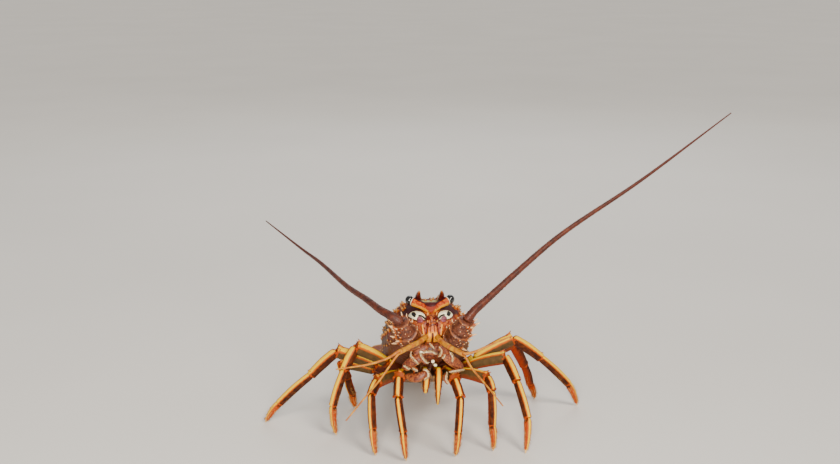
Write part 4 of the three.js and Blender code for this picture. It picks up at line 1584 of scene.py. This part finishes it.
@dataclass
class Breastplate:
    """The plate under the body that the legs leave from, furrowed between the pairs."""

    front: float = 32.3
    rear: float = 98.5
    furrows: tuple[float, ...] = (44, 56, 68, 80, 91)

    def build(self) -> None:
        """Makes the plate: a flat keel that widens to the rear, furrowed behind each pair."""
        behind = np.linspace(self.front, self.rear, 120)[:, None]
        half = 10 + 0.29 * (behind - self.front)
        turn = turns(96)
        across = half * np.sign(np.sin(turn)) * np.abs(np.sin(turn)) ** 0.6
        furrow = sum(hump(behind, at, 1.3) for at in self.furrows)
        low = -26.5 - 8.2 * np.abs(np.cos(turn)) ** 0.6 + 0.9 * furrow - 0.8 * hump(across, 0, 3)
        high = -26.0 + 6.0 * np.abs(np.cos(turn))
        grid = on_body(across, behind, np.where(np.cos(turn) < 0, low, high))
        finish = Finish(
            "belly", ("513420", "74502f", "8e6a42"), mottle=5, speck=("5a2416", 2.4, 0.3),
            layers=(Layer("furrow", "3f2216", 0.3, 1.0),),
        )
        plate = closed_grid(grid, furrow=furrow)
        piece("breastplate_shell", plate, finish.material(), ["breastplate"])


# Where each pair of legs leaves the breastplate: across and behind.
HIPS = ((10.5, 38), (14, 50), (17.5, 62), (21, 74), (24.5, 86))
# Knee, wrist, ankle and foot of each leg.
BENDS = {
    Side.LEFT: (
        ((18.3, -30, 68.5), (22.3, -40, 57.3), (21, -38, 25.8), (19.3, -32.6, 0)),
        ((48.6, -10, 60.8), (51.3, -19, 53), (51.7, -24, 23.8), (52.7, -24.8, 0)),
        ((69, 20, 67.9), (76.1, 0, 53.3), (82.9, -20, 27.4), (79.5, -32, 0)),
        ((79.5, 45, 76.3), (106.5, 52, 54.6), (135.1, 60, 24.8), (145.7, 65.2, 0)),
        ((82.4, 66, 64.2), (95.6, 74, 38.9), (102.9, 80, 17.1), (108.5, 83.6, 0)),
    ),
    Side.RIGHT: (
        ((-28.2, -30, 71.8), (-29.7, -40, 59.1), (-25.7, -40, 28.4), (-22.9, -38, 0)),
        ((-45.9, -10, 60.6), (-50.9, -18, 53.2), (-50.3, -23, 24.3), (-48, -26.2, 0)),
        ((-63, 22, 80.4), (-73, 17, 62.1), (-83.9, 15, 29.5), (-81.4, 16.7, 0)),
        ((-79.9, 37, 71.5), (-102.7, 43, 48), (-132.4, 48, 19.3), (-145.8, 49.4, 0)),
        ((-76.1, 66, 50.2), (-70.3, 72, 32.4), (-65.9, 76, 14.1), (-62.8, 76.3, 0)),
    ),
}
# How far each leg's stripe leans to the head in radians, and how narrow it is. The pale stripe is
# partly the leg's own colour and partly a painted highlight: each leg's lean and width follow where the
# light strikes that leg.
STRIPES = {
    Side.LEFT: ((0.1, 2.4), (0.1, 2.4), (0.3, 1.3), (0.65, 1.0), (0.0, 2.6)),
    Side.RIGHT: ((0.1, 2.4), (0.1, 2.4), (0.65, 1.0), (0.65, 1.0), (0.65, 1.0)),
}


@dataclass
class Leg:
    """One walking leg of six joints, from the breastplate to the floor.

    Attributes:
        side: which side it is on.
        number: 1 for the first pair to 5 for the last.
        hip: how far across and behind it leaves the breastplate.
        bends: knee, wrist, ankle and foot.
    """

    side: Side
    number: int
    hip: tuple[float, float]
    bends: tuple[Triple, ...]

    # Half heights and half widths of each joint from near to far.
    COXA = ((6.3, 6.5, 6.2), (4.9, 5.1, 4.9))
    ISCHIUM = ((5.5, 5.6, 5.2), (4.4, 4.4, 4.2))
    MERUS = ((4.6, 5.1, 5.6, 5.9, 5.8), (3.9, 4.1, 4.4, 4.6, 4.7))
    CARPUS = ((4.6, 5.0, 4.4), (4.0, 4.3, 3.9))
    PROPODUS = ((3.8, 3.8, 4.0, 3.9, 3.6), (3.4, 3.4, 3.5, 3.4, 3.2))
    # Shares of the toe's length, its half height there, and how much narrower it is.
    TOE = ((0, 0.05, 0.2, 0.6, 0.86, 0.93, 1), (2.2, 3.3, 3.4, 2.6, 1.7, 1.0, 0.45))
    TOE_BREADTH = 0.88
    # Spines before the knee and before the wrist: share along, turn aside, length, radius.
    KNEE_SPINES = (
        (0.93, 0.0, 5.2, 1.29), (0.97, 0.75, 2.6, 0.77), (0.955, -0.75, 2.6, 0.77),
        (0.55, 0.1, 1.5, 0.55), (0.3, -0.1, 1.2, 0.49),
    )
    WRIST_SPINES = ((0.93, 0.0, 2.4, 0.6), (0.9, 0.7, 1.6, 0.45))
    # Bristles on the toe and on the joint before it.
    BRUSH = 300
    COMB = 90

    def __post_init__(self) -> None:
        """Works out the leg's plane and its joints' places."""
        across, behind = self.hip
        self.lean, self.narrow = STRIPES[self.side][self.number - 1]
        knee, wrist, ankle, foot = (np.array(at, float) for at in self.bends)
        hip = on_body(self.side.sign * across, behind, -30)
        self.plane = unit(np.cross(foot - hip, UP))
        reach = knee - hip
        self.places = [hip, hip + 0.14 * reach - 1.4 * UP, hip + 0.4 * reach, knee, wrist, ankle, foot]

    def bowed(self, start: Array, end: Array, bow: float, rows: int, lift: float = 0.0) -> Course:
        """A straight course whose middle stands out by the bow, and whose end is lifted.

        Args:
            start: its near end.
            end: its far end.
            bow: millimetres that its middle stands out.
            rows: points along it.
            lift: millimetres that its end is raised.

        Returns:
            The course.
        """
        share = np.linspace(0, 1, rows)[:, None]
        back = -unit(np.cross(unit(end - start), self.plane))
        path = start + (end + lift * UP - start) * share + bow * np.sin(np.pi * share) * back
        return Course(path, self.plane)

    def segment(
        self, start: Array, end: Array, sizes: Rows, bow: float, rows: int
    ) -> tuple[Patch, Course, Array]:
        """One joint of the leg, bowed a little, with a rounded head and a rolled far rim.

        Args:
            start: its near end.
            end: its far end.
            sizes: half heights and half widths from near to far, evenly spaced.
            bow: how far its middle stands out, in millimetres.
            rows: rings along it.

        Returns:
            The skin, its course, and its half height at each ring.
        """
        course = self.bowed(start, end, bow, rows)
        share = np.linspace(0, 1, rows)
        head = np.sqrt(np.clip(1 - (1 - np.clip(share / 0.07, 0, 1)) ** 2, 0.15, 1))
        rim = 1 + 0.04 * hump(share, 0.97, 0.035) - 0.05 * hump(share, 0.07, 0.05)
        at = np.linspace(0, 1, len(sizes[0]))
        high, broad = (np.interp(share, at, size) * head * rim for size in sizes)

        def relief(share: Array, turn: Array) -> Array:
            """Shallow hollows beside the ridge along the back."""
            return -0.22 * hump(np.cos(turn), -0.35, 0.3) * np.sin(np.pi * share)

        patch = tube(course, high, broad, 30, relief)
        along = patch.marks["along"]
        rim = hump(along, 0.985, 0.03) + 0.7 * hump(along, 0, 0.03)
        return patch.marked(up=self.stripe(patch), rim=rim), course, high

    def stripe(self, patch: Patch) -> Array:
        """How near each point is to the stripe's middle: 1 - narrow (1 - cos of the angle) / 2.

        The stripe's middle leans from the leg's back towards the head. The stripe is partly the leg's
        own colour and partly a painted highlight, leaned and widened on each leg towards where the
        light falls.

        Args:
            patch: a joint's skin.

        Returns:
            A number for each point, 1 on the stripe.
        """
        back, head = -patch.marks["cosine"], self.side.sign * patch.marks["sine"]
        near = back * math.cos(self.lean) + head * math.sin(self.lean)
        return np.maximum(1 - 0.5 * self.narrow * (1 - near), 0.04 + 0.1 * (near + 1))

    def knuckles(self, place: Array, size: float) -> list[Patch]:
        """The two hinge bosses at a joint.

        Args:
            place: the joint's place.
            size: the leg's half height there.

        Returns:
            One boss for each side.
        """
        axes = np.stack([unit(np.cross(self.plane, UP)), UP, self.plane])
        sizes = np.array([0.28, 0.28, 0.26]) * size
        bosses = (place + sign * 0.78 * size * self.plane for sign in (-1, 1))
        return [blob(boss, sizes, axes, 8).marked(rim=1.0, up=0.5) for boss in bosses]

    def upper(self) -> tuple[Patch, Patch]:
        """From the body to the knee: three joints, with their spines.

        Returns:
            The joints and their spines.
        """
        hip, trunk, thigh, knee = self.places[:4]
        coxa, *_ = self.segment(hip, trunk, self.COXA, 0, 24)
        ischium, *_ = self.segment(trunk, thigh, self.ISCHIUM, -0.4, 36)
        merus, course, high = self.segment(thigh, knee, self.MERUS, 0.8, 60)
        along = merus.marks["along"]
        # Painted shade where each leg meets the body: full on the coxa, fading along the ischium and
        # gone early on the merus.
        coxa.marked(hipped=1.0)
        ischium.marked(hipped=0.4 + 0.55 * step(1.0, 0.5, ischium.marks["along"]))
        merus.marked(thigh=step(0.02, 0.12, along), hipped=0.5 * step(0.22, 0, along))
        share, aside, lengths, radii = np.array(self.KNEE_SPINES).T
        roots, way, forward = course.roots(share, np.pi + aside, high, 0.88)
        spines = thorns(roots, 0.75 * way + forward, lengths, radii, None, 8, 6)
        parts = [coxa, ischium, merus, *self.knuckles(thigh, 4.6), *self.knuckles(knee, 5.3)]
        return Patch.joined(parts), spines

    def lower(self) -> tuple[Patch, Patch]:
        """From the knee to the floor: three joints, and the bristles of the last two.

        Returns:
            The joints with their spines, and the bristles.
        """
        knee, wrist, ankle, foot = self.places[3:]
        carpus, course, high = self.segment(knee, wrist, self.CARPUS, 0.6, 40)
        propodus, run, tall = self.segment(wrist, ankle, self.PROPODUS, 0.7, 64)
        last = self.bowed(ankle, foot, 1.1, 60, 0.45)
        wide = np.interp(last.share, *self.TOE)
        dactyl = tube(last, wide, self.TOE_BREADTH * wide, 26)
        dactyl.points[:, 2] = np.maximum(dactyl.points[:, 2], 0.0)
        along = dactyl.marks["along"]
        dactyl.marked(up=self.stripe(dactyl), toe=step(0.02, 0.2, along), claw=step(0.87, 0.93, along))
        share, aside, lengths, radii = np.array(self.WRIST_SPINES).T
        roots, way, forward = course.roots(share, np.pi + aside, high, 0.88)
        spines = thorns(roots, way + forward, lengths, radii, None, 8, 5)
        dice = np.random.default_rng(self.number + 10 * (self.side is Side.LEFT))
        at = dice.uniform(0.08, 0.88, self.BRUSH)
        turn = np.round(dice.uniform(0, 8, self.BRUSH)) * np.pi / 4
        turn += dice.normal(0, 0.12, self.BRUSH)
        roots, way, forward = last.roots(at, turn, wide, 0.92)
        brush = hairs(roots, 0.75 * way + forward, 2.3, 0.13, self.number + 60)
        brush.points[:, 2] = np.maximum(brush.points[:, 2], HAIR_FLOOR)
        at = dice.uniform(0.5, 0.99, self.COMB)
        turn = dice.uniform(-0.9, 0.9, self.COMB)
        roots, way, forward = run.roots(at, turn, tall, 0.9)
        comb = hairs(roots, 0.6 * way + forward, 1.8, 0.11, self.number + 80)
        parts = [carpus, propodus, dactyl, *self.knuckles(wrist, 4.5), *self.knuckles(ankle, 3.7)]
        return Patch.joined([*parts, spines]), Patch.joined([brush, comb])

    def build(
        self, skin: Material, spine: Material, hair: Material
    ) -> None:
        """Makes the leg.

        Args:
            skin: finish of its joints.
            spine: finish of its spines.
            hair: finish of its bristles.
        """
        node = f"leg_{self.side.letter}{self.number}"
        name = f"leg_{self.side.word}_{self.number}"
        for half, (patch, fine), word, finish in (
            ("upper", self.upper(), "spines", spine),
            ("lower", self.lower(), "bristles", hair),
        ):
            piece(f"{name}_{half}", patch, skin, [f"{node}_{half}"])
            piece(f"{name}_{word}", fine, finish)


@dataclass
class Legs:
    """All ten walking legs and the finishes that they share with the mouth."""

    skin: Finish = Finish(
        "leg", ("260f07", "3f1a0c", "552a14"), mottle=4, speck=("a85a2a", 1.2, 0.2),
        layers=(
            Layer("thigh", "54452a", 0.2, 1.5, 0.3, 4), Layer("toe", "9c3c1c", 0.1, 1.0, 0.2, 2),
            # The three up layers paint a red side away from the stripe, then the stripe's orange edge
            # and yellow middle; the stripe is partly own colour, partly painted highlight.
            Layer("rim", "96401c", 0.4, 1.0, 0.2, 1.5), Layer("up", "8c3214", 0.2, 0.03, 0.06, 3),
            Layer("up", "b4560c", 0.84, 0.93, 0.04, 3), Layer("up", "dcb404", 0.935, 0.98, 0.02, 3),
            # Painted shade: the first layer on the next line darkens the leg bases under the body.
            Layer("hipped", "4c2014", 0.1, 0.9, 0.2, 4), Layer("claw", "d8b37a", 0.2, 0.9),
        ),
        rough=(0.5, 0.7), grain=0.5, relief=0.18, coat=0.01, shine=0.15,
    )
    spine: Finish = Finish(
        "leg_spine", ("8a3a1c", "b0602a", "c98238"), layers=(Layer("tip", "3a1410", 0.55, 0.9),),
    )
    hair: Finish = Finish(
        "bristle", ("8f5a2c", "b88446", "d6ad70"), mottle=2, rough=(0.5, 0.7), coat=0.0, relief=0.02,
    )

    def build(self) -> tuple[Material, Material]:
        """Makes the legs and gives the finishes of their skin and bristles.

        Returns:
            The finish of the skin and that of the bristles.
        """
        skin, spine, hair = self.skin.material(), self.spine.material(), self.hair.material()
        for side in Side:
            for number, (hip, bends) in enumerate(zip(HIPS, BENDS[side]), 1):
                Leg(side, number, hip, bends).build(skin, spine, hair)
        return skin, hair


# Tail


@dataclass
class Tail:
    """Six rings that step down behind the shell, and the fan on the floor.

    Attributes:
        slopes: degrees by which each ring leans down.
        plated: rings with side plates; all but the first of them have paddles too.
        outline: half width, height above and depth below at each joint.
        prickles: prickles on the near half of each blade of the fan.
    """

    slopes: tuple[float, ...] = (30, 27, 22, 16, 11, 8)
    ring_length: float = 21.5
    gap: float = 0.3
    rows: int = 64
    plated: int = 5
    prickles: int = 60
    outline: Curve = table([(0, 31, 24, 20), (2, 29.5, 22.5, 18), (4, 25.5, 18, 13), (6, 21, 12.5, 9)])

    # Shares along a ring, and the shares of its full size there.
    BAND = ((0, 0.14, 0.38, 0.45, 0.92, 1), (0.93, 0.955, 0.945, 1.0, 1.015, 0.97))
    # A side plate and a paddle: share along the ring, across and above in its half sizes, and
    # the plate's half width and thickness.
    PLATE = (
        (0.4, 0.8, -0.2, 7.2, 2.2), (0.47, 0.95, -0.7, 6.6, 1.7), (0.58, 0.98, -1.1, 3.6, 1.1),
        (0.72, 0.99, -1.38, 0.3, 0.3),
    )
    PADDLE = ((0.3, 0.48, -0.85), (0.42, 0.55, -1.1), (0.6, 0.6, -1.34))
    # A blade of the fan: share of its length, share of its root's height, half thickness.
    BLADE = (
        (0, 1, 2.2), (0.28, 0.52, 1.45), (0.58, 0.15, 0.95), (0.84, 0, 0.7), (0.95, 0, 0.6),
        (1, 0, 0.45),
    )
    # The fan: a blade's root past the last joint, its degrees aside, length and half widths.
    FAN = {
        "middle": (0, -1.5, -1, 0, 50, (10, 12, 14, 14.5, 12, 7.5)),
        "inner": (14, -3, -2, 25, 50, (4.5, 9, 12.6, 12.6, 9.6, 5)),
        "outer": (18.5, -6, -2, 56, 47, (4.5, 9, 13, 12.6, 9.6, 5)),
    }

    def __post_init__(self) -> None:
        """Works out the joints between rings and the way the tail runs at each."""
        joints = [on_body(0, CARAPACE_LENGTH + self.gap, -2)]
        for slope in self.slopes:
            down = math.radians(slope)
            way = np.array([0, math.cos(down), -math.sin(down)])
            joints.append(joints[-1] + self.ring_length * way)
        self.joints = np.array(joints)
        ways = np.gradient(self.joints, axis=0)
        ways[0] = body_way(0, 1, 0)
        self.ways = unit(ways)

    def place(
        self, ring: int, share: Array, across: Array, above: Array, lift: Array | float = 0
    ) -> Array:
        """A place on a ring: share along it, then across and above in shares of its size.

        Args:
            ring: 0 for the first ring.
            share: share along it.
            across: share of its half width.
            above: share of its height or depth.
            lift: millimetres outside its skin.

        Returns:
            The places about the middle of the head.
        """
        share, across, above, lift = np.broadcast_arrays(share, across, above, lift)
        half, back, belly = self.outline(ring + share)
        t = share[..., None]
        way = unit(self.ways[ring] * (1 - t) + self.ways[ring + 1] * t)
        up = np.cross(np.array([1.0, 0, 0]), way)
        at = self.joints[ring] * (1 - t) + self.joints[ring + 1] * t
        tall = (np.where(above > 0, back, belly) + lift) * above
        at = at + tall[..., None] * up
        at[..., 0] += (half + lift) * across
        return at

    def ring(self, ring: int) -> Patch:
        """One ring: a smooth front that slides under the ring before, and a raised rear band.

        Across the band runs a furrow on each side, which stops short of the middle of the back.
        Below, a stiff bar crosses the wrinkled skin of the belly, which lies a little sunk.

        Args:
            ring: 0 for the first ring.

        Returns:
            The ring with its marks.
        """
        share = np.linspace(0.01, 0.99, self.rows)
        share = np.concatenate([share, [0.985, 0.97, 0.95]])[:, None]
        inner = np.concatenate([np.zeros(self.rows), [0.4, 0.9, 1.0]])[:, None]

        def squared(turn: Array) -> Array:
            """Height round the section: a half circle above and a squarer half below."""
            rise = np.cos(turn)
            return np.where(rise > 0, rise, -np.abs(rise) ** 0.5)

        def section(turn: Array) -> Array:
            """The plain section of the ring's middle."""
            return self.place(ring, np.full(turn.shape, 0.5), np.sin(turn), squared(turn))

        turn = evened(section, 150)
        rise, above = np.cos(turn), squared(turn)
        size = np.interp(share, *self.BAND) - 0.22 * inner**2
        side = np.abs(np.sin(turn))
        furrow = hump(share, 0.68 - 0.04 * side, 0.028)
        furrow = furrow * step(0.12, 0.2, side) * step(0.2, 0.1, -rise)
        belly = step(-0.02, -0.3, rise)
        bar = belly * hump(share, 0.66, 0.08)
        sunk = -0.75 * furrow + (0.06 * np.sin(70 * share) - 0.4) * (belly - bar)
        lift = sunk + 0.12 * grain(self.place(ring, share, np.sin(turn), above), 6, 20 + ring)
        grid = self.place(ring, share, size * np.sin(turn), size * above, lift)
        return closed_grid(
            grid, furrow=furrow, rear=hump(share, 0.97, 0.03) * (rise > -0.2) * (1 - inner),
            # The lip that turns in at the ring's rear is marked for a painted shade, dark as a hollow.
            under=belly * (1 - inner), bar=bar, inner=inner, slide=step(0.42, 0.36, share),
            crimson=0.5 + 0.5 * grain(grid, 14, 9),
        )

    def hung(
        self, ring: int, side: Side, stops: Rows, rows: int, normal: Array
    ) -> tuple[Course, Array]:
        """A course through stops (share, across, above) on a ring's side, and even shares to 1."""
        share, across, above = np.array(stops).T[:3]
        path = spline(self.place(ring, share, side.sign * across, above), rows)
        return Course(path, normal), np.linspace(0, 1, rows)

    def side_plate(self, ring: int, side: Side) -> Patch:
        """The pointed plate at a ring's side, curved back to a sharp corner.

        Args:
            ring: 0 for the first ring.
            side: which side of it.

        Returns:
            The plate.
        """
        course, share = self.hung(ring, side, self.PLATE, 30, np.array([side.sign, 0, 0.25]))
        at = np.linspace(0, 1, len(self.PLATE))
        wide, thick = (np.interp(share, at, size) for size in np.array(self.PLATE).T[3:])
        patch = tube(course, wide, thick, 24)
        return patch.marked(spot=hump(patch.marks["along"], 0.42, 0.1), crimson=0.4)

    def paddle(self, ring: int, side: Side) -> Patch:
        """A swimming paddle under a ring, a thin oval leaf that hangs back."""
        course, share = self.hung(ring, side, self.PADDLE, 20, np.array([0, 1.0, 0.4]))
        wide = 5.4 * np.sqrt(np.clip(1 - (2 * share - 0.95) ** 2, 0.02, 1))
        return tube(course, wide, 0.35 + 0.3 * (1 - share), 20)

    def blade(
        self, root: Array, heading: float, reach: float, widths: Sequence[float]
    ) -> tuple[Patch, Patch]:
        """A blade of the fan: hard and arched at its root, thin, flat and ribbed behind.

        Args:
            root: the middle of its near edge.
            heading: degrees aside from straight back.
            reach: its length.
            widths: half widths from near to far.

        Returns:
            The blade, and its prickles and the fringe of hairs round its far edge.
        """
        turned = math.radians(heading)
        way = np.array([math.sin(turned), math.cos(turned), 0])
        across = np.array([math.cos(turned), -math.sin(turned), 0])
        share = np.linspace(0, 1, 90)[:, None]
        rows = [(*row, width) for row, width in zip(self.BLADE, widths)]
        height, thick, half = table(rows)(share)
        turn = turns(120)
        aside = np.cos(turn) + 0 * share
        upper = np.sin(turn) > 0
        soft = step(0.42, 0.5, share)
        rib = np.cos(14 * np.pi * aside)
        keel = (1 - soft) * (0.9 * hump(aside, 0, 0.16) + 0.4 * hump(np.abs(aside), 0.7, 0.1))
        arch = 0.35 * (1 - aside**2) * (1 - soft)
        z = thick * np.sin(turn) + (0.14 * soft * rib * np.abs(np.sin(turn)) + keel + arch) * upper
        grid = (root + way * reach * share)[:, None] + (half * aside)[..., None] * across
        grid[..., 2] = np.maximum(np.maximum(root[2] * height, 0) + thick + z, 0)
        blade = closed_grid(
            grid, soft=soft, rib=np.maximum(rib, 0) * soft, edge=step(0.86, 1.0, share),
            keel=np.clip(keel, 0, 1),
        )
        at = np.concatenate([np.linspace(0.55, 1, 60), np.linspace(1, 0.55, 60)])[:, None]
        lean = np.repeat([1.0, -1.0], 60)[:, None]
        inward = np.linspace(-1, 1, 60)[:, None]
        width = np.interp(at, [row[0] for row in self.BLADE], widths)
        rim = root + way * reach * at + across * lean * width
        end = root + way * reach + across * inward * widths[-1]
        roots = np.vstack([rim, end])
        roots[:, 2] = 0.45
        ways = np.vstack([way + 0.55 * across * lean, way + 0.4 * across * inward])
        fringe = hairs(roots, ways, 1.6, 0.12, int(abs(heading)) + 5)
        dice = np.random.default_rng(int(heading) + 90)
        count = self.prickles
        row, column = dice.integers(8, 38, count), dice.integers(6, 54, count)
        lengths = dice.uniform(0.7, 1.5, count)
        prickles = thorns(grid[row, column], way + 0.7 * UP, lengths, 0.3, None, 5, 4)
        fringe = Patch.joined([fringe, prickles])
        fringe.points[:, 2] = np.maximum(fringe.points[:, 2], HAIR_FLOOR)
        return blade, fringe

    def build(self, hair: Material) -> None:
        """Makes the rings, their side plates and paddles, and the fan.

        Args:
            hair: the finish of the fringe.
        """
        skin = Finish(
            "tail", ("2e120d", "4f2217", "6b3a24"), mottle=6, speck=("b08a5c", 2.6, 0.2),
            layers=(
                Layer("crimson", "591612", 0.5, 0.75, 0.1, 3), Layer("slide", "6a3422", 0, 1.2, 0.2, 4),
                Layer("under", "9c744a", 0, 1, 0.3, 2), Layer("bar", "6e3c20", 0.1, 0.9, 0.1, 2),
                Layer("spot", "d8b070", 0.75, 1.0, 0.1, 1.5), Layer("furrow", "c49a62", 0.45, 0.9),
                # Painted shade: the last layer on the next line darkens the inward rear lip of each
                # ring.
                Layer("rear", "a8602f", 0.3, 1.0, 0.1, 2), Layer("inner", "2c100c", 0.2, 0.8),
            ),
            grain=1.0,
        )
        fan = Finish(
            "fan", ("3a160f", "5e2a1a", "7d4424"), mottle=4, speck=("b58a58", 2.6, 0.2),
            layers=(
                Layer("soft", "74381c", 0, 1.2, 0.3, 4), Layer("rib", "a4602e", 0.4, 1.2),
                Layer("keel", "7e3a1e", 0.3, 1.0), Layer("edge", "c48a48", 0.2, 1.1, 0.15, 2),
            ),
        )
        material = skin.material()
        for ring in range(len(self.slopes)):
            parts = [self.ring(ring)]
            for side in Side:
                if ring < self.plated:
                    parts.append(self.side_plate(ring, side))
                if 0 < ring < self.plated:
                    parts.append(self.paddle(ring, side))
            node = f"tail_ring_{ring + 1}"
            piece(f"{node}_shell", Patch.joined(parts), material, [node])
        blades = {"tail_fan_middle": (self.FAN["middle"], 1.0)}
        for side in Side:
            for row in ("inner", "outer"):
                blades[f"tail_fan_{row}_{side.letter}"] = (self.FAN[row], side.sign)
        material = fan.material()
        for node, ((x, y, z, heading, reach, widths), sign) in blades.items():
            root = self.joints[-1] + np.array([sign * x, y, z])
            blade, fringe = self.blade(root, sign * heading, reach, widths)
            piece(f"{node}_blade", blade, material, [node])
            piece(f"{node}_fringe", fringe, hair)


# Studio


@dataclass
class Studio:
    """A pale floor, soft lights and the camera at the photograph's angle.

    Attributes:
        camera_place: the camera's place about the middle of the head, in millimetres.
        aim: where the lights look, in metres.
        lights: name, place in metres, size, power and colour of each light.
    """

    camera_place: Triple = (-77.09, -881.12, 417.39)
    yaw: float = math.radians(4.461)
    pitch: float = math.radians(14.470)
    lens: float = 46.886
    sensor: float = 36.0
    floor_size: float = 30.0
    aim: Triple = (-0.07, -0.07, 0.08)
    lights: tuple[tuple[str, Triple, float, float, str], ...] = (
        ("key_light", (0.5, -1.0, 1.3), 0.35, 2.3, "fff5e8"),
        ("front_light", (-0.2, -1.2, 0.45), 0.4, 20, "fff6ea"),
        ("back_light", (0.2, 1.3, 1.3), 1.0, 8, "ffffff"),
    )

    def floor(self) -> None:
        """A wide pale floor, very slightly mottled."""
        mesh = bpy.data.meshes.new("floor")
        size = self.floor_size
        corners = [(-size, -size, 0), (size, -size, 0), (size, size, 0), (-size, size, 0)]
        mesh.from_pydata(corners, [], [(0, 1, 2, 3)])
        made = linked("floor", mesh)
        material = bpy.data.materials.new("floor")
        material.use_nodes = True
        tree = material.node_tree
        noise = tree.nodes.new("ShaderNodeTexNoise")
        ramp = tree.nodes.new("ShaderNodeValToRGB")
        ramp.color_ramp.elements[0].color = linear("dcdad6")
        ramp.color_ramp.elements[1].color = linear("e6e4e1")
        place = tree.nodes.new("ShaderNodeTexCoord").outputs["Object"]
        wired(tree, noise, {"Scale": 3.0, "Vector": place})
        wired(tree, ramp, {"Fac": noise.outputs["Fac"]})
        shader = {"Base Color": ramp.outputs["Color"], "Roughness": 0.75}
        wired(tree, tree.nodes["Principled BSDF"], shader)
        mesh.materials.append(material)

    def light(
        self, name: str, place: Triple, size: float, power: float, colour: str
    ) -> None:
        """A soft light that looks at the head from a place in metres.

        The key light is a broad sun, whose size is an angle, and the rest are squares.

        Args:
            name: its name.
            place: where it stands, in metres.
            size: its side in metres, or the sun's angle.
            power: its strength.
            colour: hex digits.
        """
        sun = name == "key_light"
        lamp = bpy.data.lights.new(name, "SUN" if sun else "AREA")
        if sun:
            lamp.angle = size
        else:
            lamp.size = size
        lamp.energy = power
        lamp.color = linear(colour)[:3]
        made = linked(name, lamp)
        made.location = place
        x, y, z = np.array(self.aim) - np.array(place)
        made.rotation_euler = (math.pi / 2 + math.atan2(z, math.hypot(x, y)), 0, math.atan2(-x, y))

    def build(self) -> None:
        """Makes the floor, the lights, the world and the camera."""
        self.floor()
        for light in self.lights:
            self.light(*light)
        world = bpy.data.worlds.new("studio")
        world.use_nodes = True
        sky = world.node_tree.nodes["Background"]
        sky.inputs["Color"].default_value = linear("e4e3e1")
        sky.inputs["Strength"].default_value = 0.5
        bpy.context.scene.world = world
        lens = bpy.data.cameras.new("camera")
        lens.lens = self.lens
        lens.sensor_width = self.sensor
        lens.clip_start = 0.01
        camera = linked("camera", lens)
        camera.location = (np.array(self.camera_place) + SHIFT) * MM
        camera.rotation_euler = (math.pi / 2 - self.pitch, 0, -self.yaw)
        bpy.context.scene.camera = camera


def main() -> None:
    """Builds every sub-assembly in order."""
    logging.basicConfig(level=logging.INFO, format="%(name)s %(message)s")
    Studio().build()
    Carapace().build()
    Horns().build()
    Eyes().build()
    Face().build()
    Antennae().build()
    Antennules().build()
    skin, hair = Legs().build()
    Mouth().build(skin, hair)
    Breastplate().build()
    Tail().build(hair)


if __name__ == "__main__":
    main()
